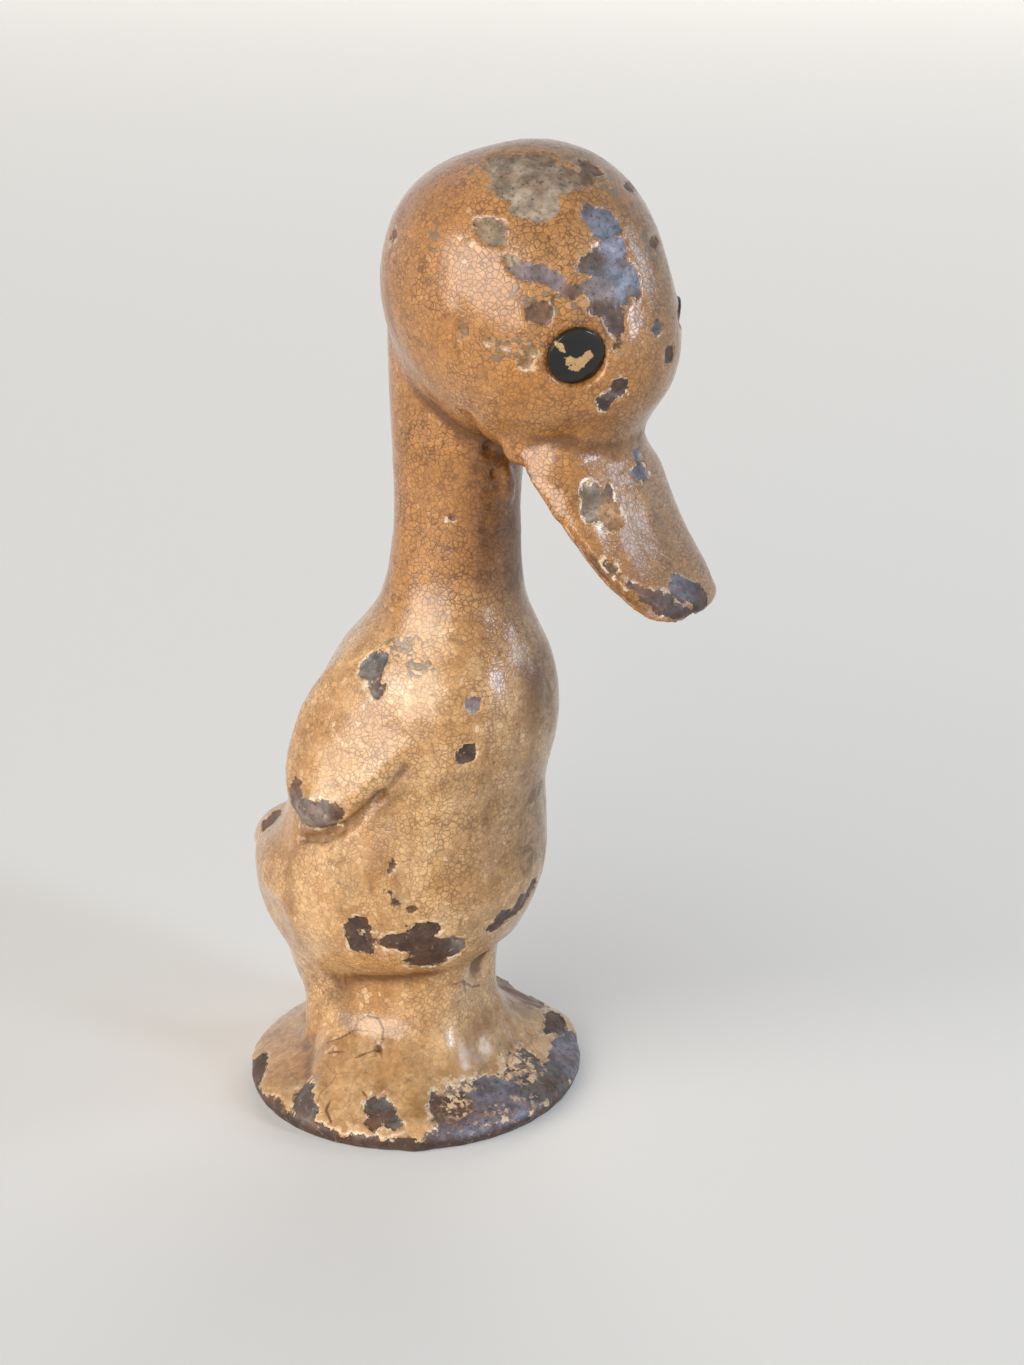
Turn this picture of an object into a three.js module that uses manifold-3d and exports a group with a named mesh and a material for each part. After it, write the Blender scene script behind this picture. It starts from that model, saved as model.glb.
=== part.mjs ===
import * as THREE from 'three';
import { mergeVertices } from 'three/addons/utils/BufferGeometryUtils.js';
import Module from 'manifold-3d';

// Sizes in millimetres. The duck faces -Y and its right side is -X.
const standHeight = 115;

// Foot pad.
const baseWidth = 43;
const baseDepth = 39.6;
const rimHeight = 2.8;
const swellHeight = 5.6;

// Body: reaches are from the middle of the pad.
const rumpLevel = 14;
const bellyLevel = 28;
const bellyWidth = 32.6;
const bellyFront = 15;
const bellyBack = 21;
const waistLevel = 40;
const waistWidth = 29.4;
const waistFront = 14.8;
const waistBack = 15;
const saddleDip = 2;
const breastLevel = 50;
const breastWidth = 28;
const breastFront = 16.7;
const breastBack = 12;
const shoulderRound = 0.8;

// Neck and head.
const neckLevel = 70;
const neckWidth = 14.6;
const neckReach = 4.6;
const neckSweep = 8;
const neckFlare = 1.3;
const throatLevel = 84;
const throatFlare = 0.8;
const headRadius = 16.1;
const headNarrow = 0.94;
const headReach = 13.4;
const headLongBack = 0.7;
const headLongFront = 3.4;
const crownDip = 1;
const templeDip = 1.3;
const napeSwell = 0.7;

// Bill.
const billLength = 24.5;
const billWidth = 17.2;
const billRootWidth = 19;
const billRootHeight = 11.6;
const billThickness = 6.6;
const billTipLift = 2;
const billDip = 50;
const mandibleDrop = 2.4;

// Wings and tail.
const wingLength = 26.6;
const wingWidth = 16.4;
const wingThickness = 6;
const wingSpacing = 16.8;
const wingForward = 5;
const wingRise = 10;
const tailReach = 2.2;
const tailRootDepth = 10;
const tailLevel = 27.4;
const tailWidth = 17;
const tailThickness = 10.4;

// Legs, toes and the prop behind them.
const legSpread = 5;
const legForward = 2;
const legWidth = 14.6;
const legDepth = 8;
const ankleLevel = 12;
const footSplay = 62;
const footFlare = 1.5;
const footLong = 2.9;
const toeWidth = 8.4;
const toeHeight = 3.1;
const toeReach = 15.4;
const outerToeTurn = 101;
const innerToeTurn = 50;
const propWidth = 12;
const propDepth = 20;
const propBack = 18.3;

// Hollow, eyes, rivets and pegs.
const wall = 4.5;
const eyeDiameter = 6.2;
const eyeProud = 1.4;
const eyeSeat = 1.1;
const shankDiameter = 2.6;
const shankLength = 2.6;
const rivetDiameter = 3.2;
const rivetHead = 4.4;
const rivetSink = 1.4;
const legRivetForward = 0.4;
const legRivetLevel = 9.4;
const bodyRivetBack = 2;
const bodyRivetLevel = 33;
const bossWall = 3;
const pegDiameter = 2.6;
const pegLength = 3;
const pegPlay = 0.3;
const fitGap = 0.1;
const seamGap = 0.1;

const around = 32;
const v = (x, y, z) => new THREE.Vector3(x, y, z);

const wasm = await Module();
wasm.setup();

function solid(geometry) {
  const bare = geometry.clone();
  bare.deleteAttribute('normal');
  bare.deleteAttribute('uv');
  const merged = mergeVertices(bare, 1e-4);
  const points = new Float32Array(merged.attributes.position.array);
  const faces = new Uint32Array(merged.index.array);
  const mesh = () => new wasm.Mesh({ numProp: 3, vertProperties: points, triVerts: faces });
  const make = () => new wasm.Manifold(mesh());
  if (make().volume() < 0) {
    for (let i = 0; i < faces.length; i += 3) {
      [faces[i], faces[i + 1]] = [faces[i + 1], faces[i]];
    }
  }
  return make();
}

function geometryOf(body) {
  const mesh = body.getMesh();
  const geometry = new THREE.BufferGeometry();
  geometry.setAttribute('position', new THREE.BufferAttribute(new Float32Array(mesh.vertProperties), 3));
  geometry.setIndex(new THREE.BufferAttribute(new Uint32Array(mesh.triVerts), 1));
  return geometry;
}

// Skin over rings of equal point counts, closed at both ends.
function skin(rings) {
  const count = rings[0].length;
  const points = rings.flat();
  const index = [];
  for (let r = 0; r + 1 < rings.length; r++) {
    for (let i = 0; i < count; i++) {
      const a = r * count + i;
      const b = r * count + (i + 1) % count;
      index.push(a, b, b + count, a, b + count, a + count);
    }
  }
  for (const [ring, flip] of [[0, true], [rings.length - 1, false]]) {
    const centre = rings[ring].reduce((sum, p) => sum.add(p), v(0, 0, 0)).divideScalar(count);
    points.push(centre);
    for (let i = 0; i < count; i++) {
      const a = ring * count + i;
      const b = ring * count + (i + 1) % count;
      index.push(points.length - 1, flip ? b : a, flip ? a : b);
    }
  }
  const geometry = new THREE.BufferGeometry().setFromPoints(points);
  geometry.setIndex(index);
  return geometry;
}

// Loft through stations: centre, broad half axis, deep half axis towards the front and towards the back.
function loft(stations, steps, segments = around) {
  const curve = (pick) => new THREE.CatmullRomCurve3(stations.map(pick), false, 'catmullrom', 0.5);
  const centres = curve((s) => s.at);
  const broads = curve((s) => s.broad);
  const fores = curve((s) => s.fore);
  const hinds = curve((s) => s.hind ?? s.fore);
  const rings = [];
  for (let k = 0; k <= steps; k++) {
    const t = k / steps;
    const at = centres.getPoint(t);
    const broad = broads.getPoint(t);
    const fore = fores.getPoint(t);
    const hind = hinds.getPoint(t);
    const ring = [];
    for (let i = 0; i < segments; i++) {
      const angle = 2 * Math.PI * i / segments;
      const deep = Math.sin(angle) > 0 ? fore : hind;
      ring.push(at.clone().addScaledVector(broad, Math.cos(angle)).addScaledVector(deep, Math.sin(angle)));
    }
    rings.push(ring);
  }
  return solid(skin(rings));
}

function rod(from, to, radiusA, radiusB = radiusA, segments = 20) {
  const along = to.clone().sub(from);
  const geometry = new THREE.CylinderGeometry(radiusB, radiusA, along.length(), segments);
  const turn = new THREE.Quaternion().setFromUnitVectors(v(0, 1, 0), along.clone().normalize());
  geometry.applyQuaternion(turn);
  geometry.translate(...from.clone().add(to).multiplyScalar(0.5).toArray());
  return solid(geometry);
}

const union = (bodies) => bodies.reduce((a, b) => a.add(b));

// Body and neck, level by level: half width, reach to the front and reach to the back.
const { lerp, degToRad } = THREE.MathUtils;
const neckHalf = neckWidth / 2;
const neckFront = neckReach + neckHalf;
const neckBack = neckHalf - neckReach;
const belly = { z: bellyLevel, side: bellyWidth / 2, front: bellyFront, back: bellyBack };
const waist = { z: waistLevel, side: waistWidth / 2, front: waistFront, back: waistBack };
const breast = { z: breastLevel, side: breastWidth / 2, front: breastFront, back: breastBack };
const neckFoot = {
  z: neckLevel - neckSweep,
  side: neckHalf + neckFlare,
  front: neckFront + 0.6 * neckFlare,
  back: neckBack + neckFlare,
};
function rump(rise, side, front, back) {
  const z = lerp(rumpLevel, bellyLevel, rise);
  return { z, side: side * belly.side, front: front * bellyFront, back: back * bellyBack };
}
function between(low, high, share, side, front = side, back = side) {
  return {
    z: lerp(low.z, high.z, share),
    side: lerp(low.side, high.side, share) + side,
    front: lerp(low.front, high.front, share) + front,
    back: lerp(low.back, high.back, share) + back,
  };
}
const neckAt = (z, flare) => ({
  z,
  side: neckHalf + flare / 2,
  front: neckFront + 1.3 * flare,
  back: neckBack + 0.7 * flare,
});
const levels = [
  rump(0, 0.12, 0, 0.43),
  rump(0.09, 0.49, 0.2, 0.71),
  rump(0.23, 0.74, 0.49, 0.86),
  rump(0.46, 0.9, 0.79, 0.95),
  belly,
  between(belly, waist, 0.3, 0.2 * saddleDip, 0, -saddleDip),
  between(belly, waist, 0.66, 0.15 * saddleDip, 0, -0.75 * saddleDip),
  waist,
  between(waist, breast, 0.5, 0.4 * shoulderRound),
  breast,
  between(breast, neckFoot, 0.5, shoulderRound),
  neckFoot,
  neckAt(neckLevel, 0),
  neckAt(lerp(neckLevel, throatLevel, 0.5), 0),
  neckAt(throatLevel, throatFlare),
  neckAt(standHeight - headRadius, 2.2 * throatFlare),
];
function trunk(inset, from, steps, segments = around) {
  const least = (size) => Math.max(size - inset, neckHalf / 8);
  const middle = (l) => (l.back - l.front) / 2;
  const stations = levels.slice(from).map((l) => ({
    at: v(0, middle(l), l.z),
    broad: v(least(l.side), 0, 0),
    fore: v(0, -least((l.front + l.back) / 2), 0),
  }));
  return loft(stations, steps, segments);
}

// Head, a ball drawn out towards the bill.
const faceWay = v(0, -0.72, -0.69).normalize();
const crownRise = Math.hypot((headRadius + headLongBack) * faceWay.z, headRadius * faceWay.y);
const headCentre = v(0, -headReach, standHeight - crownRise + 0.27 * crownDip);
const dip = degToRad(billDip);
const billWay = v(0, -Math.cos(dip), -Math.sin(dip));
const billRise = v(0, -Math.sin(dip), Math.cos(dip));
const headSwells = [
  { way: v(0, 0.42, 0.9), by: -crownDip },
  { way: v(-0.56, -0.83, 0.12), by: -templeDip },
  { way: v(0.56, -0.83, 0.12), by: -templeDip },
  { way: v(0, 0.85, 0.5), by: napeSwell },
];
const swellSpread = 0.42; // of the head's radius
function swellHead(geometry) {
  const place = geometry.attributes.position;
  for (let i = 0; i < place.count; i++) {
    const point = v(0, 0, 0).fromBufferAttribute(place, i);
    const way = point.clone().normalize();
    const share = (s) => Math.exp(-way.distanceToSquared(s.way) / swellSpread ** 2);
    const by = headSwells.reduce((sum, s) => sum + s.by * share(s), 0);
    point.addScaledVector(way, by);
    place.setXYZ(i, point.x, point.y, point.z);
  }
}
function head(inset, rings = 18, segments = around) {
  const radius = headRadius - inset;
  const profile = [];
  for (let i = 0; i <= rings; i++) {
    const angle = Math.PI * i / rings;
    const long = radius + (angle > Math.PI / 2 ? headLongFront : headLongBack);
    const across = i === 0 || i === rings ? 0 : radius * Math.sin(angle);
    profile.push(new THREE.Vector2(across, -long * Math.cos(angle)));
  }
  const geometry = new THREE.LatheGeometry(profile, segments);
  geometry.applyQuaternion(new THREE.Quaternion().setFromUnitVectors(v(0, 1, 0), faceWay));
  geometry.scale(headNarrow, 1, 1);
  swellHead(geometry);
  geometry.translate(...headCentre.toArray());
  return solid(geometry);
}

// Bill, from a broad root in the face to a rounded tip that turns up a little.
const billRoot = headCentre.clone().add(v(0, -0.258 * headRadius, -0.902 * headRadius));
function billStation(along, half, rise, drop, lift) {
  return {
    at: billRoot.clone().addScaledVector(billWay, along * billLength).addScaledVector(billRise, lift),
    broad: v(half, 0, 0),
    fore: billRise.clone().multiplyScalar(rise),
    hind: billRise.clone().multiplyScalar(-drop),
  };
}
const rootHalf = billRootWidth / 2;
const billHalf = billWidth / 2;
const thin = billThickness / 2;
const lift = billTipLift;
const upperBill = loft([
  billStation(-0.3, rootHalf * 0.95, billRootHeight, thin, 0),
  billStation(-0.08, rootHalf, billRootHeight * 0.92, thin * 0.7, 0),
  billStation(0.1, rootHalf, billRootHeight * 0.72, thin * 0.6, 0),
  billStation(0.27, lerp(rootHalf, billHalf, 0.6), thin * 1.85, thin * 0.75, lift * 0.15),
  billStation(0.46, billHalf, thin * 1.2, thin * 0.78, lift * 0.15),
  billStation(0.66, billHalf * 0.92, thin * 0.85, thin * 0.6, lift * 0.2),
  billStation(0.84, billHalf * 0.82, thin * 0.7, thin * 0.6, lift * 0.42),
  billStation(0.94, billHalf * 0.69, thin * 0.58, thin * 0.45, lift * 0.7),
  billStation(1, billHalf * 0.47, thin * 0.38, thin * 0.34, lift),
  billStation(1.03, billHalf * 0.12, thin * 0.12, thin * 0.12, lift * 1.1),
], 22, 28);
const lowerBill = loft([
  billStation(-0.1, billHalf * 0.86, thin * 0.6, mandibleDrop, -mandibleDrop * 0.5),
  billStation(0.15, billHalf * 0.88, thin * 0.6, mandibleDrop, -mandibleDrop * 0.45),
  billStation(0.46, billHalf * 0.89, thin * 0.6, mandibleDrop * 0.72, -mandibleDrop * 0.5),
  billStation(0.66, billHalf * 0.81, thin * 0.5, mandibleDrop * 0.66, -mandibleDrop * 0.36),
  billStation(0.8, billHalf * 0.7, thin * 0.4, mandibleDrop * 0.6, -mandibleDrop * 0.2),
  billStation(0.9, billHalf * 0.3, thin * 0.2, mandibleDrop * 0.25, 0),
], 9, 16);

// Wings: lobes swept down and back from the shoulders.
function wing(side) {
  const sweep = v(side * 0.24, 0.42, -0.9).normalize();
  const out = v(side, 0.12, 0.1).normalize();
  const wide = new THREE.Vector3().crossVectors(sweep, out).normalize();
  const shoulder = v(side * wingSpacing / 2, -wingForward, breastLevel + wingRise);
  const station = (along, half, thick) => ({
    at: shoulder.clone().addScaledVector(sweep, along * wingLength),
    broad: wide.clone().multiplyScalar(half * wingWidth / 2),
    fore: out.clone().multiplyScalar(thick * wingThickness / 2),
  });
  return loft([
    station(0, 0.1, 0.2),
    station(0.14, 0.62, 0.75),
    station(0.36, 0.95, 1),
    station(0.6, 1, 1.05),
    station(0.82, 0.78, 0.95),
    station(0.95, 0.42, 0.6),
    station(1, 0.1, 0.15),
  ], 14, 20);
}

// Tail: a short blunt wedge over the rump.
const tailRoot = v(0, bellyBack - tailRootDepth, tailLevel);
function tailStation(along, half, thick) {
  return {
    at: tailRoot.clone().add(v(0, along * (tailRootDepth + tailReach), 0)),
    broad: v(half * tailWidth / 2, 0, 0),
    fore: v(0, -0.2, 1).multiplyScalar(thick * tailThickness / 2),
  };
}
const tail = loft([
  tailStation(0, 1.1, 1.15),
  tailStation(0.4, 1, 1),
  tailStation(0.7, 0.78, 0.74),
  tailStation(0.89, 0.5, 0.48),
  tailStation(1, 0.16, 0.16),
], 10, 18);

// Foot pad, rounded at its rim and swept up towards the ankles.
function padLevel(z, share, drawn = 0) {
  return {
    at: v(0, drawn * baseDepth / 2, z),
    broad: v(baseWidth / 2 * share, 0, 0),
    fore: v(0, -baseDepth / 2 * share, 0),
  };
}
const pad = loft([
  padLevel(0, 0.965),
  padLevel(rimHeight * 0.25, 0.995),
  padLevel(rimHeight * 0.6, 1),
  padLevel(rimHeight, 0.96),
  padLevel(rimHeight + swellHeight * 0.18, 0.82, 0.01),
  padLevel(rimHeight + swellHeight * 0.36, 0.67, 0.025),
  padLevel(rimHeight + swellHeight * 0.64, 0.52, 0.05),
  padLevel(rimHeight + swellHeight, 0.42, 0.08),
], 14, 40);

// Rear prop between rump and pad.
function propStation(z, wide, drawn) {
  return {
    at: v(0, propBack + drawn * propDepth - propDepth / 2, z),
    broad: v(wide * propWidth / 2, 0, 0),
    fore: v(0, -propDepth / 2, 0),
  };
}
const prop = loft([
  propStation(rimHeight * 0.7, 1.17, -0.03),
  propStation(lerp(rimHeight, rumpLevel, 0.2), 0.95, -0.08),
  propStation(lerp(rimHeight, rumpLevel, 0.45), 0.9, -0.03),
  propStation(lerp(rimHeight, rumpLevel, 0.85), 1, 0),
  propStation(lerp(rumpLevel, bellyLevel, 0.3), 1.5, 0.05),
], 8, 20);

// Legs, broad across the splayed feet, and the toes that fan from them.
const turned = (side, degrees) => v(side * Math.sin(degToRad(degrees)), -Math.cos(degToRad(degrees)), 0);
function leg(side) {
  const foot = turned(side, footSplay);
  const across = turned(side, footSplay + 90);
  const station = (z, ahead, broad, deep) => ({
    at: v(side * legSpread, -legForward, z).addScaledVector(foot, ahead * legDepth),
    broad: across.clone().multiplyScalar(broad * legWidth / 2),
    fore: foot.clone().multiplyScalar(deep * legDepth / 2),
  });
  return loft([
    station(ankleLevel * 0.12, 0.46, footFlare, footLong),
    station(ankleLevel * 0.33, 0.38, lerp(1, footFlare, 0.72), lerp(1, footLong, 0.62)),
    station(ankleLevel * 0.54, 0.2, lerp(1, footFlare, 0.35), lerp(1, footLong, 0.3)),
    station(ankleLevel * 0.83, 0.06, 1.03, 1.04),
    station(lerp(ankleLevel, rumpLevel, 0.8), 0, 1, 1),
    station(lerp(rumpLevel, bellyLevel, 0.36), 0, 1.06, 1.12),
  ], 10, 24);
}
function toe(side, degrees) {
  const way = turned(side, degrees);
  const across = turned(side, degrees + 90);
  const ankle = v(side * legSpread, -legForward, 0);
  const station = (share, z, half, high) => ({
    at: ankle.clone().addScaledVector(way, toeReach * share).setZ(z),
    broad: across.clone().multiplyScalar(half * toeWidth / 2),
    fore: v(0, 0, high * toeHeight),
  });
  return loft([
    station(0.1, ankleLevel * 0.7, 0.55, 1.1),
    station(0.36, ankleLevel * 0.44, 0.7, 1.05),
    station(0.62, lerp(rimHeight, ankleLevel, 0.08), 0.9, 1),
    station(0.86, rimHeight * 0.8, 1, 0.85),
    station(0.97, rimHeight * 0.6, 0.85, 0.65),
    station(1.02, rimHeight * 0.5, 0.45, 0.25),
  ], 9, 16);
}
function foot(side) {
  return union([leg(side), toe(side, outerToeTurn), toe(side, innerToeTurn)]);
}

const figure = union([
  trunk(0, 0, 30), head(0), upperBill, lowerBill, wing(-1), wing(1), tail,
  pad, prop, foot(-1), foot(1),
]);

// Trim the loft ends that fall under the sole.
const far = 4 * standHeight;
function slab(centre) {
  const geometry = new THREE.BoxGeometry(far, far, far);
  geometry.translate(...centre.toArray());
  return solid(geometry);
}
const outside = figure.subtract(slab(v(0, 0, -far / 2)));
const bothSides = new THREE.MeshBasicMaterial({ side: THREE.DoubleSide });
const outsideMesh = new THREE.Mesh(geometryOf(outside), bothSides);

// Outermost skin point on a line from inside.
function skinPoint(from, way) {
  const hits = new THREE.Raycaster(from, way).intersectObject(outsideMesh);
  return hits[hits.length - 1].point;
}

// Hollow inside body, neck and head.
const hollow = union([trunk(wall, levels.indexOf(belly), 14, 24), head(wall, 10, 24)]);

// Rivets lie across the parting plane, with countersunk ends filed flush.
function rivetBody(y, z, grow) {
  const radius = rivetDiameter / 2 + grow;
  const headRadiusHere = rivetHead / 2 + grow;
  const parts = [rod(v(-standHeight, y, z), v(standHeight, y, z), radius)];
  for (const side of [-1, 1]) {
    const end = skinPoint(v(0, y, z), v(side, 0, 0));
    const inner = v(end.x - side * rivetSink, y, z);
    const outer = v(end.x + side * rivetSink, y, z);
    parts.push(rod(inner, outer, radius, headRadiusHere * 2 - radius));
  }
  return union(parts);
}
const legRivetAt = [-legRivetForward, legRivetLevel];
const bodyRivetAt = [bodyRivetBack, bodyRivetLevel];
const legRivet = rivetBody(...legRivetAt, 0).intersect(outside);
const bodyRivet = rivetBody(...bodyRivetAt, 0).intersect(outside);
const bossRadius = rivetDiameter / 2 + bossWall;
const bodyBoss = rod(v(-far, ...bodyRivetAt), v(far, ...bodyRivetAt), bossRadius).intersect(outside);

// Eyes: domes with shanks, seated in the cheeks.
const eyeWay = (side) => v(side * 0.611, -0.779, -0.237).normalize();
function eyeParts(side) {
  const way = eyeWay(side);
  const radius = eyeDiameter / 2;
  const shank = shankDiameter / 2;
  const seat = skinPoint(headCentre, way).addScaledVector(way, -eyeSeat);
  const ball = (radius * radius + eyeProud * eyeProud) / (2 * eyeProud);
  const profile = [
    new THREE.Vector2(0, -shankLength),
    new THREE.Vector2(shank, -shankLength),
    new THREE.Vector2(shank, 0),
    new THREE.Vector2(radius, 0),
  ];
  const rimAngle = Math.asin(Math.min(1, radius / ball));
  for (let i = 0; i <= 6; i++) {
    const angle = rimAngle * (1 - i / 6);
    const x = i === 6 ? 0 : ball * Math.sin(angle);
    profile.push(new THREE.Vector2(x, eyeSeat + eyeProud - ball * (1 - Math.cos(angle))));
  }
  const place = (geometry) => {
    geometry.applyQuaternion(new THREE.Quaternion().setFromUnitVectors(v(0, 1, 0), way));
    geometry.translate(...seat.toArray());
    return geometry;
  };
  const stud = solid(place(new THREE.LatheGeometry(profile, 20)));
  const onAxis = (distance) => seat.clone().addScaledVector(way, distance);
  const socketOuter = rod(onAxis(-fitGap), onAxis(headRadius / 2), radius + fitGap);
  const socketInner = rod(onAxis(-shankLength - fitGap), onAxis(eyeSeat), shank + fitGap);
  return { stud, socket: socketOuter.add(socketInner) };
}
const rightEye = eyeParts(-1);
const leftEye = eyeParts(1);

// Register pegs in the head wall and the breast wall.
const pegSpots = [
  headCentre.clone().add(v(0, 0, headRadius - wall / 2)),
  v(0, wall / 2 - breastFront, breastLevel),
];
function pegRods(length, radius) {
  return union(pegSpots.map((p) => rod(p.clone().setX(wall / 4), p.clone().setX(-length), radius)));
}
const pegs = pegRods(pegLength, pegDiameter / 2);
const pegHoles = pegRods(pegLength + pegPlay, pegDiameter / 2 + fitGap);

const shell = outside.subtract(hollow).add(bodyBoss)
  .subtract(rivetBody(...legRivetAt, fitGap))
  .subtract(rivetBody(...bodyRivetAt, fitGap))
  .subtract(rightEye.socket)
  .subtract(leftEye.socket);
const rightHalf = shell.subtract(slab(v(far / 2 - seamGap / 2, 0, 0))).subtract(pegHoles);
const leftHalf = shell.subtract(slab(v(seamGap / 2 - far / 2, 0, 0))).add(pegs);

// The origin lies under the middle of the whole figure.
const box = outside.boundingBox();
const shiftBack = -(box.min[1] + box.max[1]) / 2;

function piece(name, body, colour, metalness, roughness) {
  const material = new THREE.MeshStandardMaterial({ color: colour, metalness, roughness });
  const mesh = new THREE.Mesh(geometryOf(body.translate([0, shiftBack, 0])), material);
  mesh.name = name;
  return mesh;
}

const duck = new THREE.Group();
duck.name = 'cast_iron_duck';
duck.add(
  piece('right_half_casting', rightHalf, 0xb09468, 0.1, 0.5),
  piece('left_half_casting', leftHalf, 0xb09468, 0.1, 0.5),
  piece('right_eye', rightEye.stud, 0x15130f, 0, 0.25),
  piece('left_eye', leftEye.stud, 0x15130f, 0, 0.25),
  piece('leg_rivet', legRivet, 0x6a5d48, 0.6, 0.5),
  piece('body_rivet', bodyRivet, 0x6a5d48, 0.6, 0.5),
);

export default duck;
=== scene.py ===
import math

import bmesh
import bpy
import numpy as np
from mathutils import Matrix, Vector, noise
from mathutils.bvhtree import BVHTree
from mathutils.kdtree import KDTree


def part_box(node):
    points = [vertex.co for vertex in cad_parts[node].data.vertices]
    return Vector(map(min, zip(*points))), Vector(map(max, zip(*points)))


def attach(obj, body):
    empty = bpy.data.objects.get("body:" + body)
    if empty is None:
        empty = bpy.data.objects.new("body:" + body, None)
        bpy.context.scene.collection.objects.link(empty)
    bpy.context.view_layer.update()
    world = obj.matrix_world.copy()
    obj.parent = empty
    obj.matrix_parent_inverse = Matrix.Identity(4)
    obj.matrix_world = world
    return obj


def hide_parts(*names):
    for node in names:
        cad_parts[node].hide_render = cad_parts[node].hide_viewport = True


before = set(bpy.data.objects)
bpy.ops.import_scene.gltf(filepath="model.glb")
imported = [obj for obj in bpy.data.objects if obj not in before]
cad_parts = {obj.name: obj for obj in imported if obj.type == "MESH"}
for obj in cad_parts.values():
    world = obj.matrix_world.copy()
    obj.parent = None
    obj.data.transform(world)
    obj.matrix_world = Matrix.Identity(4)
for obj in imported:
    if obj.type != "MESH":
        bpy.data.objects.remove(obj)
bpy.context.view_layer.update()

scene = bpy.context.scene
scene.view_settings.view_transform = "Standard"
mm = 0.001


# Camera at the photograph's angle

viewpoint = {
    "bearing": -55.0,  # degrees round the foot pad
    "distance": 0.296,
    "height": 0.161,
    "yaw": -2.035,
    "pitch": 20.426,
    "roll": 1.401,
    "lens": 71.56,
    "sensor": 36.0,
    "clipStart": 0.01,
    "frameWidth": 1024,
    "frameHeight": 1365,
    "soleBand": 0.05,  # millimetres of the pad's edge that count as its sole
}


def padMiddle():
    soles = [v.co.y for name in ("right_half_casting", "left_half_casting")
             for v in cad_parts[name].data.vertices if v.co.z < viewpoint["soleBand"] * mm]
    return (min(soles) + max(soles)) / 2


def aimCamera(view):
    bearing = math.radians(view["bearing"])
    origin = Vector((math.sin(bearing) * view["distance"],
                     padMiddle() - math.cos(bearing) * view["distance"], view["height"]))
    turn = math.radians(view["bearing"] + view["yaw"])
    pitch = math.radians(view["pitch"])
    flat = math.cos(pitch)
    forward = Vector((-math.sin(turn) * flat, math.cos(turn) * flat, -math.sin(pitch)))
    level = forward.cross(Vector((0, 0, 1))).normalized()
    above = level.cross(forward)
    roll = math.radians(view["roll"])
    right = level * math.cos(roll) + above * math.sin(roll)
    up = above * math.cos(roll) - level * math.sin(roll)
    data = bpy.data.cameras.new("photoCamera")
    data.sensor_fit = "VERTICAL"
    data.sensor_height = view["sensor"]
    data.lens = view["lens"]
    data.clip_start = view["clipStart"]
    camera = bpy.data.objects.new("photoCamera", data)
    scene.collection.objects.link(camera)
    camera.matrix_world = Matrix((
        (right.x, up.x, -forward.x, origin.x),
        (right.y, up.y, -forward.y, origin.y),
        (right.z, up.z, -forward.z, origin.z),
        (0, 0, 0, 1)))
    scene.camera = camera
    return {"origin": origin, "right": right, "up": up, "forward": forward,
            "focal": view["lens"] / view["sensor"] * view["frameHeight"]}


eye = aimCamera(viewpoint)


def pixelRay(x, y):
    way = (eye["forward"] * eye["focal"] + eye["right"] * (x - viewpoint["frameWidth"] / 2)
           + eye["up"] * (viewpoint["frameHeight"] / 2 - y))
    return way.normalized()


print("camera ready")


# Plain studio

studio = {
    "aimHeight": 60,  # millimetres
    "floorColour": (0.8, 0.79, 0.77),
    "floorRoughness": 0.8,
    "floorGlow": 0.2,  # as the camera sees it
    "floorReach": 1.3,  # ends before the lamps
    "floorSides": 96,
    "skyColour": (0.95, 0.97, 1.0),
    "ambient": 0.05,
    "backdrop": 0.78,  # as the camera sees it
    "warm": (1.0, 0.95, 0.88),
    "cool": (0.64, 0.8, 1.0),
}

lamps = {  # way there by the camera's right, back and up; metres away; size; power; colour; mirrored
    "keyLamp": ((-0.6, 0.77, 0.04), 3.0, (3.9, 2.25), 130.0, "warm", True),
    "coolLamp": ((0.82, 0.55, 0.1), 1.6, (0.22, 0.7), 9.0, "cool", True),
    "rimLamp": ((0.92, 0.05, 0.38), 1.6, (0.42, 0.55), 4.2, "cool", True),
    "backLamp": ((0.1, -0.8, 0.55), 2.2, (2.0, 1.6), 32.0, "warm", False),
}


def areaLamp(name, way, reach, size, power, colour, mirrored):
    data = bpy.data.lights.new(name, "AREA")
    data.shape = "RECTANGLE"
    data.size, data.size_y = size
    data.energy = power
    data.color = studio[colour]
    aim = Vector((0, 0, studio["aimHeight"] * mm))
    across, back, above = way
    away = (eye["right"] * across - eye["forward"] * back + eye["up"] * above) * reach
    lamp = bpy.data.objects.new(name, data)
    lamp.location = aim + away
    lamp.rotation_euler = (-away).to_track_quat("-Z", "Y").to_euler()
    lamp.visible_glossy = mirrored
    scene.collection.objects.link(lamp)


def seenStrength(tree, unseen, seen):
    path = tree.nodes.new("ShaderNodeLightPath")
    total = path.outputs["Is Camera Ray"]
    for kind in ("Is Glossy Ray", "Is Transmission Ray"):  # mirrored and looked through as well
        either = tree.nodes.new("ShaderNodeMath")
        either.operation = "MAXIMUM"
        tree.links.new(total, either.inputs[0])
        tree.links.new(path.outputs[kind], either.inputs[1])
        total = either.outputs["Value"]
    strength = tree.nodes.new("ShaderNodeMapRange")
    strength.inputs["To Min"].default_value = unseen
    strength.inputs["To Max"].default_value = seen
    tree.links.new(total, strength.inputs["Value"])
    return strength.outputs["Result"]


def makeWorld(values):
    world = bpy.data.worlds.new("studioWorld")
    world.use_nodes = True
    tree = world.node_tree
    back = tree.nodes["Background"]
    back.inputs["Color"].default_value = (*values["skyColour"], 1)
    tree.links.new(seenStrength(tree, values["ambient"], values["backdrop"]), back.inputs["Strength"])
    scene.world = world


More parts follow.
